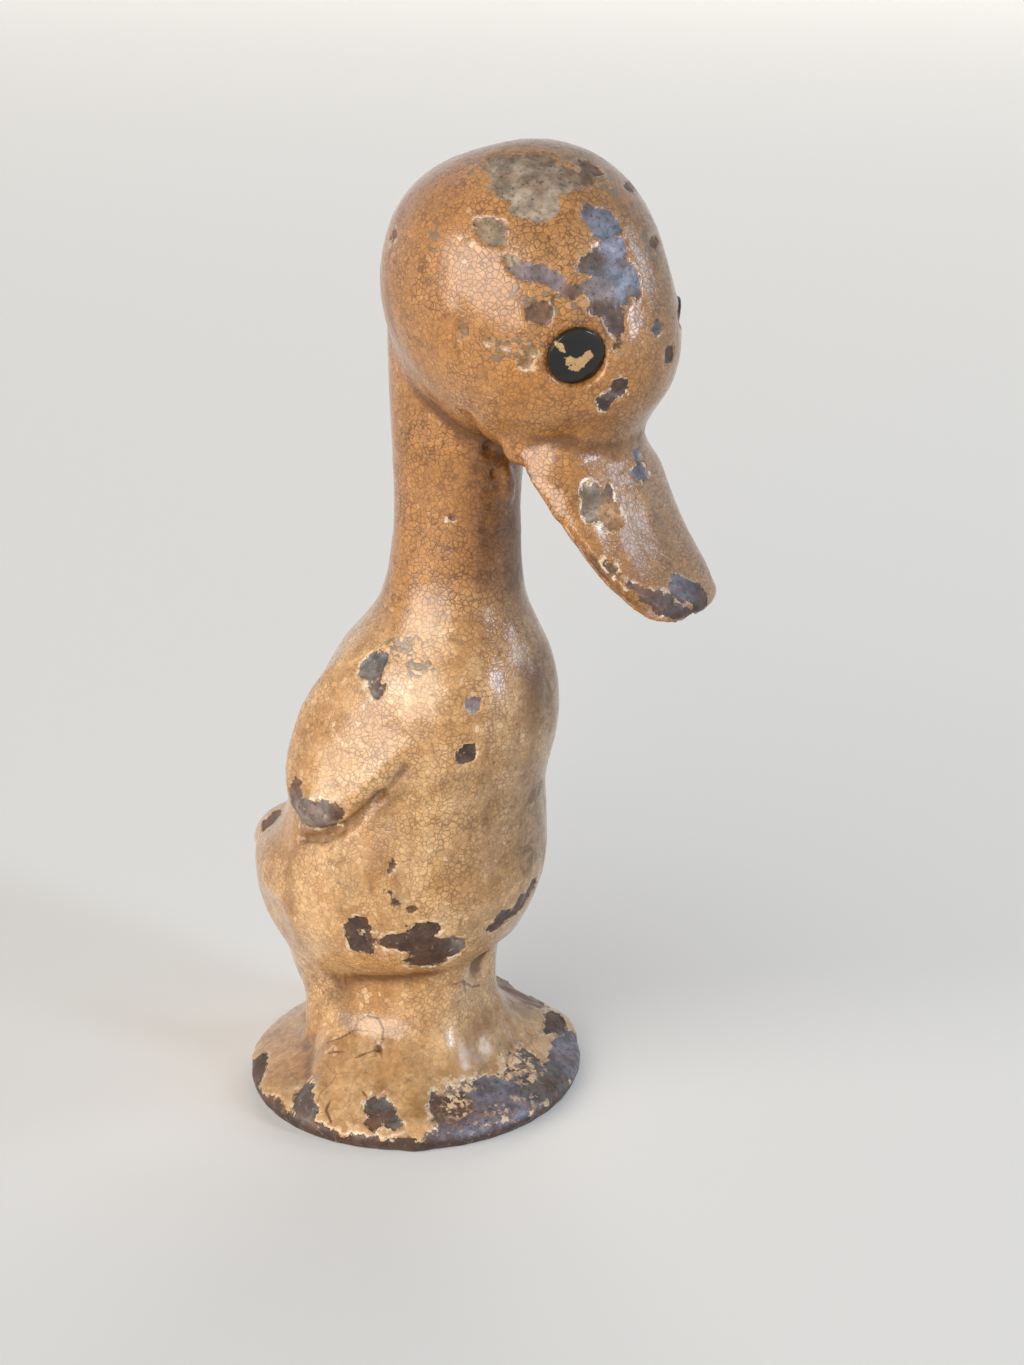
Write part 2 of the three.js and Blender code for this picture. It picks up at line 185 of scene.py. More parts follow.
def makeFloor(values):
    sides = range(values["floorSides"])
    turns = [math.tau * side / len(sides) for side in sides]
    reach = values["floorReach"]
    mesh = bpy.data.meshes.new("studioFloor")
    mesh.from_pydata([(reach * math.cos(turn), reach * math.sin(turn), 0) for turn in turns], [], [sides])
    floor = bpy.data.objects.new("studioFloor", mesh)
    scene.collection.objects.link(floor)
    finish = bpy.data.materials.new("paleFloor")
    finish.use_nodes = True
    tree = finish.node_tree
    shader = tree.nodes["Principled BSDF"]
    shader.inputs["Base Color"].default_value = (*values["floorColour"], 1)
    shader.inputs["Roughness"].default_value = values["floorRoughness"]
    shader.inputs["Emission Color"].default_value = (*values["floorColour"], 1)
    tree.links.new(seenStrength(tree, 0.0, values["floorGlow"]), shader.inputs["Emission Strength"])
    mesh.materials.append(finish)


for lampName, lampValues in lamps.items():
    areaLamp(lampName, *lampValues)
makeWorld(studio)
makeFloor(studio)
print("studio ready")


# Mesh helpers, in millimetres


smoothing = {
    "before": (8, 0.6),  # rounds and share, before the bends are measured
    "least": 0.05,  # share of tight edges and creases, which keep their shape
    "more": 0.55,
    "spread": (3, 0.5),
}


def meshFrom(name, points, faces):
    mesh = bpy.data.meshes.new(name)
    mesh.from_pydata((np.asarray(points) * mm).tolist(), [], faces)
    mesh.update()
    return mesh


def pointArray(mesh):
    points = np.empty(len(mesh.vertices) * 3)
    mesh.vertices.foreach_get("co", points)
    return points.reshape(-1, 3) / mm


def faceLists(mesh):
    return [tuple(p.vertices) for p in mesh.polygons]


def nodeArrays(name):
    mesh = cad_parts[name].data
    return pointArray(mesh), faceLists(mesh)


def normalArray(mesh):
    normals = np.empty(len(mesh.vertices) * 3)
    mesh.vertex_normals.foreach_get("vector", normals)
    return normals.reshape(-1, 3)


def edgeArray(mesh):
    edges = np.empty(len(mesh.edges) * 2, dtype=np.int64)
    mesh.edges.foreach_get("vertices", edges)
    return edges.reshape(-1, 2)


def setPoints(mesh, points):
    mesh.vertices.foreach_set("co", (points * mm).ravel())
    mesh.update()


def through(mesh, kind, **settings):
    piece = bpy.data.objects.new("workPiece", mesh)
    scene.collection.objects.link(piece)
    step = piece.modifiers.new("step", kind)
    for key, value in settings.items():
        setattr(step, key, value)
    graph = bpy.context.evaluated_depsgraph_get()
    result = bpy.data.meshes.new_from_object(piece.evaluated_get(graph))
    bpy.data.objects.remove(piece)
    return result


def neighbourMean(values, edges, degree):
    out = np.empty_like(values)
    for axis in range(values.shape[1]):
        column = values[:, axis]
        out[:, axis] = (np.bincount(edges[:, 0], column[edges[:, 1]], len(values))
                        + np.bincount(edges[:, 1], column[edges[:, 0]], len(values)))
    return out / degree[:, None]


def relax(points, edges, rounds, share):
    degree = np.bincount(edges.ravel(), minlength=len(points)).astype(float)
    share = np.broadcast_to(np.asarray(share, dtype=float), (len(points),))[:, None]
    for _ in range(rounds):
        points = points + share * (neighbourMean(points, edges, degree) - points)
    return points


def relaxWithin(points, edges, rounds, share):
    near = edges[(share > 0.001)[edges].any(1)]
    ids, local = np.unique(near, return_inverse=True)
    out = points.copy()
    out[ids] = relax(points[ids], local.reshape(-1, 2), rounds, share[ids])
    return out


def largestShell(mesh):
    edges = edgeArray(mesh)
    label = np.arange(len(mesh.vertices))
    while True:  # spreads the lowest number over each connected shell
        low = label.copy()
        np.minimum.at(low, edges[:, 0], label[edges[:, 1]])
        np.minimum.at(low, edges[:, 1], label[edges[:, 0]])
        low = low[low]
        if (low == label).all():
            break
        label = low
    kinds, counts = np.unique(label, return_counts=True)
    if len(kinds) == 1:
        return mesh
    keep = label == kinds[counts.argmax()]
    number = np.cumsum(keep) - 1
    faces = [tuple(int(number[v]) for v in p.vertices) for p in mesh.polygons if keep[p.vertices[0]]]
    return meshFrom(mesh.name, pointArray(mesh)[keep], faces)


def smoothSkin(name, points, faces, voxel, rounds, tight):
    solid = meshFrom(name, points, faces)
    mesh = largestShell(through(solid, "REMESH", mode="VOXEL", voxel_size=voxel * mm))
    points, edges = pointArray(mesh), edgeArray(mesh)
    degree = np.bincount(edges.ravel(), minlength=len(points)).astype(float)
    soft = relax(points, edges, *smoothing["before"])
    bend = np.linalg.norm(neighbourMean(soft, edges, degree) - soft, axis=1) * 2 / voxel ** 2
    share = smoothing["least"] + smoothing["more"] / (1 + (bend / tight) ** 4)
    share = relax(share[:, None], edges, *smoothing["spread"])[:, 0]
    setPoints(mesh, relax(points, edges, rounds, share))
    return mesh


def grain(points, size, octaves=3):
    scaled = points / size
    return np.array([noise.fractal(p, 1.0, 2.0, octaves) for p in scaled.tolist()])


def smoothstep(low, high, values):
    t = np.clip((values - low) / (high - low), 0, 1)
    return t * t * (3 - 2 * t)


def putFloat(mesh, name, values):
    layer = mesh.attributes.get(name) or mesh.attributes.new(name, "FLOAT", "POINT")
    layer.data.foreach_set("value", np.asarray(values, dtype=np.float32))


def putColour(mesh, name, values):
    layer = mesh.attributes.new(name, "FLOAT_COLOR", "POINT")
    full = np.ones((len(values), 4), dtype=np.float32)
    full[:, :3] = values
    layer.data.foreach_set("color", full.ravel())


def linear(red, green, blueIronSheen):
    out = []
    for part in (red, green, blueIronSheen):
        part /= 255
        out.append(part / 12.92 if part <= 0.04045 else ((part + 0.055) / 1.055) ** 2.4)
    return tuple(out)


# Painted skin over both castings and the rivet ends

skinShape = {
    "voxel": 0.32,
    "rounds": 60,
    "tight": 0.15,  # bends tighter than this, per millimetre, are spared
    "overlap": 0.25,  # of the halves at the parting plane
    "partingBand": 0.06,
    "pegReach": 0.5,  # the left half's pegs stand out past this and stay
    "rivetSwell": 1.15,  # closes the play round the rivets
    "broad": (160, 0.7),  # rounds and share that find broad hollows
    "lumps": 0.09,
    "pits": 0.03,
    "paintStep": 0.2,
}

billShape = {
    "belowEyes": (9, 12),  # it starts between these, in millimetres
    "front": (-10.5, -12.5),
    "under": (58, 62),
    "swell": 0.3,  # thin edges shrink in the smoothing
    "widen": 1.3,
    "soften": (12, 0.3),
    "tip": (70, 76),  # its end hangs below these levels
}

propTuck = {"depth": 1.7, "back": (12, 21), "bottom": (3, 6), "top": (8, 12)}


def welded(points, faces):
    same, number = np.unique(np.round(points, 4), axis=0, return_inverse=True)
    triangles = number.reshape(-1)[np.array(faces)]
    whole = (triangles != np.roll(triangles, 1, axis=1)).all(1)
    return same, triangles[whole]


def billShare(points):
    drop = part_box("right_eye")[0][2] / mm - points[:, 2]  # the bill hangs below the eyes
    share = smoothstep(*billShape["belowEyes"], drop) * smoothstep(*billShape["front"], points[:, 1])
    return share * smoothstep(*billShape["under"], points[:, 2])


def swollenBill(points, triangles):
    a, b, c = (points[triangles[:, k]] for k in range(3))
    facing = np.cross(b - a, c - a)
    normals = np.zeros_like(points)
    for k in range(3):
        np.add.at(normals, triangles[:, k], facing)
    normals /= np.linalg.norm(normals, axis=1)[:, None] + 1e-9
    swell = billShape["swell"] + billShape["widen"] * np.abs(normals[:, 0])
    return points + normals * (swell * billShare(points))[:, None]


fillets = {  # centre and radii in millimetres, on the duck's right; the left has the same
    "mouthCorner": ((-7.7, -12.0, 83.7), (1.8, 2.6, 2.2)),
    "legsFront": ((0, 0.8, 6), (4, 3.8, 13)),
    "footFront": ((0, -0.5, 2.5), (7, 5.5, 6.5)),
    "heel": ((-6, 12, 7), (4.6, 6, 11)),
    "heelLow": ((-8, 9.5, 5), (5.5, 5, 5)),
    "instep": ((-11, 7.5, 4), (5.5, 5, 4.6)),
    "toe": ((-14, 5, 3), (5, 4, 3.5)),
    "rump": ((0, 17, 13.5), (8.2, 6.3, 6)),
    "rumpSide": ((0, 14.5, 15.5), (10.5, 8.2, 5)),
}

filletFloor = 0.4  # millimetres above the sole


def fillet(centre, radii):
    work = bmesh.new()
    bmesh.ops.create_icosphere(work, subdivisions=4, radius=1)
    points = np.array([v.co for v in work.verts]) * radii + centre
    points[:, 2] = np.maximum(points[:, 2], filletFloor)
    triangles = np.array([[v.index for v in f.verts] for f in work.faces])
    work.free()
    return points, triangles


def tuckProp(points, values):
    high = smoothstep(*values["bottom"], points[:, 2]) * (1 - smoothstep(*values["top"], points[:, 2]))
    points[:, 1] -= values["depth"] * smoothstep(*values["back"], points[:, 1]) * high


def wholeFigure(values):
    solids = []
    for name in ("right_half_casting", "left_half_casting", "leg_rivet", "body_rivet"):
        points, triangles = welded(*nodeArrays(name))
        if name.endswith("casting"):
            points = swollenBill(points, triangles)
        across = points[:, 0]
        if name == "right_half_casting":
            points[across > -values["partingBand"], 0] += values["overlap"]
        elif name == "left_half_casting":
            parting = (across < values["partingBand"]) & (across > -values["pegReach"])
            points[parting, 0] -= values["overlap"]
        else:
            middle = (points.min(0) + points.max(0)) / 2
            points[:, 1:] = middle[1:] + (points[:, 1:] - middle[1:]) * values["rivetSwell"]
        tuckProp(points, propTuck)
        solids.append((points, triangles))
    for (x, y, z), radii in fillets.values():
        solids += [fillet((x * side, y, z), radii) for side in ((1, -1) if x else (1,))]
    starts = np.cumsum([0] + [len(points) for points, _ in solids])
    faces = [face for start, (_, triangles) in zip(starts, solids) for face in (triangles + start).tolist()]
    return np.concatenate([points for points, _ in solids]), faces


def hollows(mesh, rounds, share):
    points = pointArray(mesh)
    return ((relax(points, edgeArray(mesh), rounds, share) - points) * normalArray(mesh)).sum(1)


def castTree(mesh):
    return BVHTree.FromPolygons([v.co for v in mesh.vertices], faceLists(mesh))


def makeSkin(values):
    points, faces = wholeFigure(values)
    mesh = smoothSkin("paintedSkin", points, faces, values["voxel"], values["rounds"], values["tight"])
    points = pointArray(mesh)
    rounds, share = billShape["soften"]
    setPoints(mesh, relax(points, edgeArray(mesh), rounds, share * billShare(points)))
    putFloat(mesh, "broad", hollows(mesh, *values["broad"]))
    return mesh


skin = makeSkin(skinShape)
skinTree = castTree(skin)
print("skin has", len(skin.polygons), "faces")


# Places read off the photograph, in its pixels


alongRay = range(250, 420, 2)  # millimetres from the camera, through the whole figure
blobDeep = 1.5  # a blob's depth along the view, in its larger half sizes


def spotOn(x, y, target=skinTree):
    way = pixelRay(x, y)
    place = target.ray_cast(eye["origin"], way)[0]
    if place is None:  # just past the outline: the nearest skin beside that ray
        steps = [eye["origin"] + way * (t * mm) for t in alongRay]
        place = min((target.find_nearest(step) for step in steps), key=lambda hit: hit[3])[0]
    return np.array(place) / mm


def pathDistance(points, path):
    spots = [spotOn(x, y) for x, y in path]
    nearest = np.full(len(points), np.inf)
    for start, end in zip(spots, spots[1:]):
        along = end - start
        share = np.clip((points - start) @ along / (along @ along), 0, 1)
        nearest = np.minimum(nearest, np.linalg.norm(points - start - share[:, None] * along, axis=1))
    return nearest


def viewBlob(points, pixel, halfSize, turn, target=skinTree):
    centre = spotOn(*pixel, target)
    wide, high = halfSize
    right, up, forward = (np.array(eye[k]) for k in ("right", "up", "forward"))
    away = (centre * mm - np.array(eye["origin"])) @ forward
    scale = eye["focal"] / away * mm  # pixels in a millimetre
    offset = points - centre
    across, down, deep = offset @ right * scale, -(offset @ up) * scale, offset @ forward * scale
    c, s = math.cos(math.radians(turn)), math.sin(math.radians(turn))
    first, second = across * c + down * s, down * c - across * s
    reach = blobDeep * max(wide, high)
    far = np.sqrt((first / wide) ** 2 + (second / high) ** 2 + (deep / reach) ** 2)
    return far, min(wide, high) / scale  # 1 at the blob's edge, and its short radius in millimetres


# Cast forms that the smoothing rounds off, and small ones that the solids leave out

softPlaces = {  # pixel, half size, rounds of smoothing: the forms run into each other here
    "nape": ((412, 352), (52, 56), 160),
    "jaw": ((452, 398), (34, 34), 160),
    "shoulder": ((400, 610), (60, 60), 160),
    "brow": ((620, 430), (56, 26), 160),
    "rump": ((312, 960), (46, 38), 500),
    "rumpEdge": ((297, 958), (44, 44), 600),
    "heel": ((335, 1000), (36, 40), 160),
    "betweenLegs": ((480, 1010), (26, 50), 160),
    "web": ((372, 1085), (60, 42), 160),
    "webFront": ((442, 1092), (36, 34), 160),
}

folds = {  # pixels along the fold, depth and width in millimetres; both sides of the duck have them
    "wingTop": (((404, 768), (390, 788), (374, 802)), -0.45, 0.6),
    "wing": (((380, 797), (353, 821), (323, 840), (300, 838)), -0.85, 0.75),
    "wingEdge": (((394, 756), (377, 776), (361, 790), (341, 806)), 0.55, 1.4),
    "mouth": (((560, 524), (592, 562), (622, 593), (655, 612)), -0.5, 0.4),
    "billRoot": (((512, 452), (540, 441), (570, 437)), -0.2, 1.0),
    "throat": (((466, 418), (486, 440), (505, 456)), -0.5, 0.9),
}

castDetail = {  # pixel, half size, turn, height in millimetres
    "wingTip": ((316, 808), (32, 24), 10, 0.85),
    "flashBead": ((507, 482), (8, 24), -8, 0.7),
    "chinPit": ((489, 450), (9, 7), 20, -0.6),
    "throatPit": ((494, 473), (3.5, 4), 0, -0.6),
    "anklePatch": ((368, 1034), (15, 20), -10, 0.1),
    "ankleHole": ((379, 1049), (3.5, 3.5), 0, -0.8),
    "outerToe": ((312, 1100), (18, 26), 10, 0.6),
    "rumpBack": ((270, 915), (34, 30), 0, -0.9),
    "bellyFront": ((538, 885), (40, 60), 0, 0.55),
    "breastFront": ((552, 690), (30, 44), 0, 0.35),
}

bothSides = ("wingTip", "outerToe", "rumpBack", "bellyFront", "breastFront")
softShare = 0.6
fades = {"soft": (1.2, 0.5), "form": (1.2, 0.3), "stain": (1.3, 0.2)}  # from none to all, 1 at the edge


def castForms(mesh):
    points, edges = pointArray(mesh), edgeArray(mesh)
    near = points * np.where(points[:, :1] > 0, (-1, 1, 1), (1, 1, 1))  # the far side, mirrored
    for pixel, halfSize, rounds in softPlaces.values():
        far, _ = viewBlob(near, pixel, halfSize, 0)
        points = relaxWithin(points, edges, rounds, softShare * smoothstep(*fades["soft"], far))
    setPoints(mesh, points)
    points, normals = pointArray(mesh), normalArray(mesh)
    lift = np.zeros(len(points))
    for path, height, width in folds.values():
        lift += height * np.exp(-(pathDistance(near, path) / width) ** 2)
    for name, (pixel, halfSize, turn, height) in castDetail.items():
        far, _ = viewBlob(near if name in bothSides else points, pixel, halfSize, turn)
        lift += height * smoothstep(*fades["form"], far)
    setPoints(mesh, points + normals * lift[:, None])


castForms(skin)
print("cast forms done")


# Worn places: bare metal where the paint has come off

bareTones = {
    "dark": linear(84, 64, 54),
    "brown": linear(112, 82, 62),
    "plum": linear(130, 114, 114),
    "slate": linear(96, 90, 88),
    "iron": linear(134, 120, 110),
    # blue and steel: bare iron, tinted blue and lightened partly as a painted reflection of the cool lamp
    "blueIronSheen": linear(112, 114, 124),
    "greyIronSheen": linear(118, 112, 122),
    "olive": linear(138, 118, 94),
    "haze": linear(134, 104, 72),
    "silver": linear(168, 150, 130),
    "undercoat": linear(180, 130, 82),
}

wornSpots = {  # pixel, half size, turn, tone of the metal, pale broken edge
    "crownBack": ((510, 178), (24, 24), 0, "silver", 0.1),
    "crownFront": ((546, 180), (30, 23), 0, "silver", 0.1),
    "crownLobe": ((534, 205), (23, 17), 0, "silver", 0.2),
    "crownCorner": ((497, 166), (13, 13), 0, "silver", 0.1),
    "crownTop": ((528, 158), (32, 8), 4, "olive", 0.0),
    "crownEdge": ((570, 177), (12, 13), 0, "olive", 0.1),
    "crownFar": ((592, 168), (15, 6), 28, "brown", 0.3),
    "crownSide": ((586, 180), (9, 6), 30, "brown", 0.2),
    "crownIsland": ((490, 228), (18, 15), 20, "olive", 0.2),
    "napeNick": ((393, 236), (6, 8), 0, "brown", 0.4),
    "foreheadTop": ((592, 212), (13, 11), 20, "greyIronSheen", 0.1),
    "foreheadUpper": ((607, 224), (15, 18), 0, "blueIronSheen", 0.1),
    "foreheadMiddle": ((613, 252), (13, 24), 0, "greyIronSheen", 0.1),
    "foreheadLobe": ((594, 264), (19, 12), 0, "slate", 0.1),
    "foreheadLower": ((625, 284), (14, 20), 0, "blueIronSheen", 0.2),
    "browUpper": ((602, 290), (21, 12), 0, "plum", 0.1),
    "browLower": ((604, 307), (19, 11), 10, "dark", 0.2),
    "browEnd": ((615, 322), (8, 14), -10, "dark", 0.2),
    "browBandBack": ((510, 264), (8, 7), 0, "olive", 0.1),
    "browBand": ((530, 271), (19, 9), 10, "plum", 0.1),
    "browBandMiddle": ((550, 280), (19, 8), 25, "plum", 0.1),
    "browBandFront": ((571, 292), (12, 8), 10, "brown", 0.1),
    "browSpot": ((540, 313), (13, 11), 0, "brown", 0.1),
    "templeSpot": ((463, 332), (5, 7), 0, "haze", 0.2),
    "cheekSpotA": ((530, 351), (7, 5), 0, "haze", 0.3),
    "cheekSpotB": ((506, 345), (5, 4), 0, "haze", 0.2),
    "cheekSpotC": ((488, 342), (5, 5), 0, "haze", 0.2),
    "cheekSpotD": ((525, 365), (7, 4), 10, "haze", 0.5),
    "eyeCorner": ((618, 346), (6, 6), 0, "brown", 0.1),
    "cheekNickTop": ((620, 387), (8, 8), 0, "dark", 0.9),
    "cheekNickMiddle": ((612, 396), (7, 3), -35, "plum", 0.8),
    "cheekNickLow": ((606, 403), (8, 7), 30, "dark", 1.0),
    "farBrow": ((658, 328), (5, 9), 0, "slate", 0.1),
    "farCheek": ((669, 354), (7, 10), 0, "dark", 0.2),
    "farCrown": ((630, 186), (7, 12), 30, "brown", 0.2),
    "farTemple": ((655, 243), (6, 10), 20, "brown", 0.2),
    "billScarTop": ((592, 491), (10, 12), 0, "olive", 1.0),
    "billScarLow": ((594, 512), (9, 16), 0, "olive", 1.0),
    "billScarSide": ((610, 489), (6, 5), 20, "brown", 0.6),
    "billScarWorn": ((610, 514), (14, 17), 20, "undercoat", 0.9),
    "billRidgeTop": ((638, 455), (5, 7), 0, "greyIronSheen", 0.2),
    "billRidge": ((643, 473), (11, 9), 0, "greyIronSheen", 1.0),
    "billEdgeNick": ((611, 568), (10, 5), 40, "brown", 0.8),
    "billEdgeStreak": ((638, 589), (12, 5), 35, "brown", 0.6),
    "billTipNear": ((662, 600), (22, 9), 12, "dark", 0.7),
    "billTipTop": ((683, 588), (18, 14), 20, "greyIronSheen", 0.3),
    "billTipEnd": ((699, 597), (11, 16), 0, "dark", 0.2),
    "billTipUnder": ((676, 611), (22, 8), 0, "dark", 0.5),
    "neckNick": ((452, 518), (5, 4), 10, "brown", 0.9),
    "shoulderScar": ((371, 667), (11, 17), 10, "slate", 0.5),
    "shoulderScarTop": ((382, 658), (9, 6), 10, "slate", 0.3),
    "shoulderScarLow": ((377, 690), (7, 8), 25, "slate", 0.6),
    "breastNick": ((473, 704), (9, 9), -30, "plum", 0.2),
    "breastScar": ((467, 755), (13, 9), -50, "dark", 0.7),
    "wingTip": ((316, 813), (27, 18), 8, "iron", 1.0),
    "wingTipBack": ((301, 812), (13, 18), 0, "iron", 0.8),
    "wingTipFront": ((335, 812), (12, 11), 20, "brown", 0.5),
    "wingEdge": ((295, 797), (6, 20), 0, "brown", 0.2),
    "tailTop": ((270, 820), (13, 13), -30, "brown", 0.4),
    "bellyFleckA": ((391, 868), (3.4, 7), 0, "dark", 0.0),
    "bellyFleckB": ((388, 893), (5, 2.4), 10, "dark", 0.1),
    "bellyFleckC": ((395, 903), (5, 3), 20, "dark", 0.1),
    "bellyFleckD": ((411, 910), (6, 3), 0, "brown", 0.1),
    "bellyScarLeft": ((357, 930), (12, 15), 0, "dark", 0.6),
    "bellyScarLeftLow": ((363, 945), (14, 10), 0, "dark", 0.7),
    "bellyScarMiddle": ((389, 943), (14, 9), 0, "dark", 0.8),
    "bellyScarTop": ((421, 932), (22, 11), -12, "dark", 0.8),
    "bellyScarRight": ((432, 948), (27, 13), 0, "dark", 0.8),
    "bellyScarEnd": ((455, 945), (12, 9), 0, "iron", 0.8),
    # its pale edge is partly a painted reflection along the belly lip's lower edge
    "bellyScarLow": ((421, 962), (20, 6), 0, "dark", 1.0),
    "bellySideTop": ((533, 886), (7, 9), 20, "dark", 0.2),
    "bellySide": ((520, 903), (8, 13), 35, "dark", 0.2),
    "bellySideLow": ((505, 917), (12, 8), -40, "dark", 0.2),
    "bellySideEnd": ((493, 928), (8, 6), -30, "dark", 0.2),
    "toeChip": ((305, 1106), (12, 25), 4, "slate", 0.8),
    "toeChipLow": ((308, 1130), (11, 16), 0, "brown", 0.6),
    "webChip": ((379, 1107), (14, 11), 20, "slate", 0.9),
    "webChipLow": ((391, 1120), (10, 8), 20, "slate", 0.9),
    "webChipSide": ((372, 1123), (9, 7), 0, "brown", 0.9),
    "frontBare": ((495, 1117), (66, 22), -14, "greyIronSheen", 0.7),
    "frontBareSide": ((455, 1108), (26, 24), 0, "brown", 0.8),
    "frontBareFar": ((547, 1084), (36, 24), -30, "slate", 0.5),
    "frontBareRim": ((505, 1128), (60, 10), -15, "dark", 0.4),
    "frontBareTop": ((522, 1064), (22, 16), 10, "slate", 1.0),
    "frontBareMiddle": ((482, 1088), (44, 10), -8, "blueIronSheen", 0.8),
    # farPad: bare brown metal, dark partly as painted shade on the pad's shaded far part
    "farPad": ((518, 992), (34, 13), 24, "brown", 0.1),
    "farRim": ((556, 1020), (12, 17), 20, "dark", 0.3),
    "farRimFront": ((570, 1054), (20, 32), 12, "greyIronSheen", 0.3),
    "nearRim": ((256, 1075), (8, 26), 12, "dark", 0.4),
    "farEdge": ((681, 316), (4, 15), 0, "dark", 0.2),
    "nearRimFront": ((276, 1108), (14, 7), 42, "brown", 0.6),
}

paintLeft = {  # flakes of paint that still hold inside the bare places
    "flakeA": ((441, 1086), (7, 5), -20),
    "flakeE": ((455, 1083), (6, 4), 10),
    "flakeH": ((468, 1087), (5, 4), 0),
    "flakeI": ((449, 1096), (4, 3), 0),
    "flakeB": ((498, 1064), (11, 8), -15),
    "flakeJ": ((514, 1060), (6, 4), 30),
    "flakeK": ((534, 1078), (6, 3), -30),
    "flakeL": ((509, 1077), (4, 3), 0),
    "flakeC": ((533, 1110), (3, 8), 20),
    "flakeD": ((545, 1102), (6, 4), -10),
    "flakeF": ((360, 931), (4, 3), 0),
    "flakeG": ((584, 300), (7, 5), 0),
}

hiddenWear = {  # the sides that the photograph doesn't show wear in the same way
    "seed": 23,
    "groups": 34,
    "chips": (1, 5),  # in a group, the last not reached
    "radius": (0.5, 2.3),
    "apart": 1.3,
    "stretch": 0.35,
    "smaller": (0.5, 1),
    "pale": (0.1, 0.9),
    "tones": ("dark", "brown", "plum", "iron", "olive"),
    "away": 0.35,  # how far a place is turned from the camera
    "shown": (0.25, -0.05),
    "above": 4,  # the foot's rim is bare anyway
    "flat": 0.25,  # odds of a flat place; a ridge has more
    "ridge": (3, 2.2),
}

wearShape = {
    "coarse": (0.8, 2.1, 4),  # ragged edges: millimetres, grain size, octaves
    "fine": (0.35, 0.75, 2),
    "raggedMost": (0.75, 0.55),  # millimetres, and share of a small chip's radius
    "range": (-4, 3),
    "runTogether": 4,  # spots that touch join more sharply with a higher number
    "rim": (1.95, 0.8),  # bare all round up to this height, and how ragged it ends
    "rimEdge": 0.5,
    "flake": 0.85,
    "flakeShare": 0.6,
}


def blobDepth(far, radius, ragged):
    most, share = wearShape["raggedMost"]
    return (1 - far) * radius + ragged * min(most, share * radius)


def wornField(points, normals, ragged, broadHollow, values):
    count = len(points)
    sharp = values["runTogether"]
    kept = np.full(count, np.inf)
    weight = np.full(count, 1e-9)
    tone = np.zeros((count, 3))
    edge = np.zeros(count)

    def add(value, name, pale):
        nonlocal weight, tone, edge
        pull = np.exp(sharp * np.clip(value, *values["range"]))
        weight = weight + pull
        tone += pull[:, None] * np.array(bareTones[name])
        edge += pull * pale

    for pixel, halfSize, turn, name, pale in wornSpots.values():
        far, radius = viewBlob(points, pixel, halfSize, turn)
        add(blobDepth(far, radius, ragged), name, pale)
    for pixel, halfSize, turn in paintLeft.values():
        far, radius = viewBlob(points, pixel, halfSize, turn)
        kept = np.minimum(kept, -blobDepth(far, radius, ragged))
    turned = normals @ np.array(eye["forward"])
    shown = smoothstep(*hiddenWear["shown"], turned)
    for far, radius, name, pale in hiddenChips(points, turned, broadHollow, hiddenWear):
        add(blobDepth(far, radius, ragged) + values["range"][0] * shown, name, pale)
    rimHeight, rimRagged = values["rim"]
    add(rimHeight + rimRagged * ragged - points[:, 2], "dark", values["rimEdge"])
    depth = np.minimum(np.log(weight) / sharp, kept)
    return depth, tone / weight[:, None], edge / weight


def hiddenChips(points, turned, broadHollow, values):
    rng = np.random.default_rng(values["seed"])
    steep, most = values["ridge"]
    odds = (turned > values["away"]) * (values["flat"] + np.clip(-broadHollow * steep, 0, most))
    odds = odds * (points[:, 2] > values["above"])
    odds /= odds.sum()
    for start in rng.choice(len(points), values["groups"], p=odds):
        name = str(rng.choice(values["tones"]))
        pale = rng.uniform(*values["pale"])
        for _ in range(rng.integers(*values["chips"])):
            radius = rng.uniform(*values["radius"]) * rng.uniform(*values["smaller"])
            spot = points[start] + rng.normal(0, values["apart"], 3)
            stretch = 1 + rng.uniform(-values["stretch"], values["stretch"], 3)
            yield np.linalg.norm((points - spot) / stretch, axis=1) / radius, radius, name, pale


def alongCracks(points, depth, values):
    cells = np.floor(points / values["flake"]).astype(int)
    _, centres = np.unique(cells, axis=0, return_index=True)
    flakes = KDTree(len(centres))
    for number, centre in enumerate(centres):
        flakes.insert(points[centre], number)
    flakes.balance()
    mine = np.array([flakes.find(p)[1] for p in points])
    share = values["flakeShare"]
    return (1 - share) * depth + share * depth[centres[mine]]  # paint comes off flake by flake


# Brown dirt and stains, and painted shade in creases, under overhangs and on the shaded far side

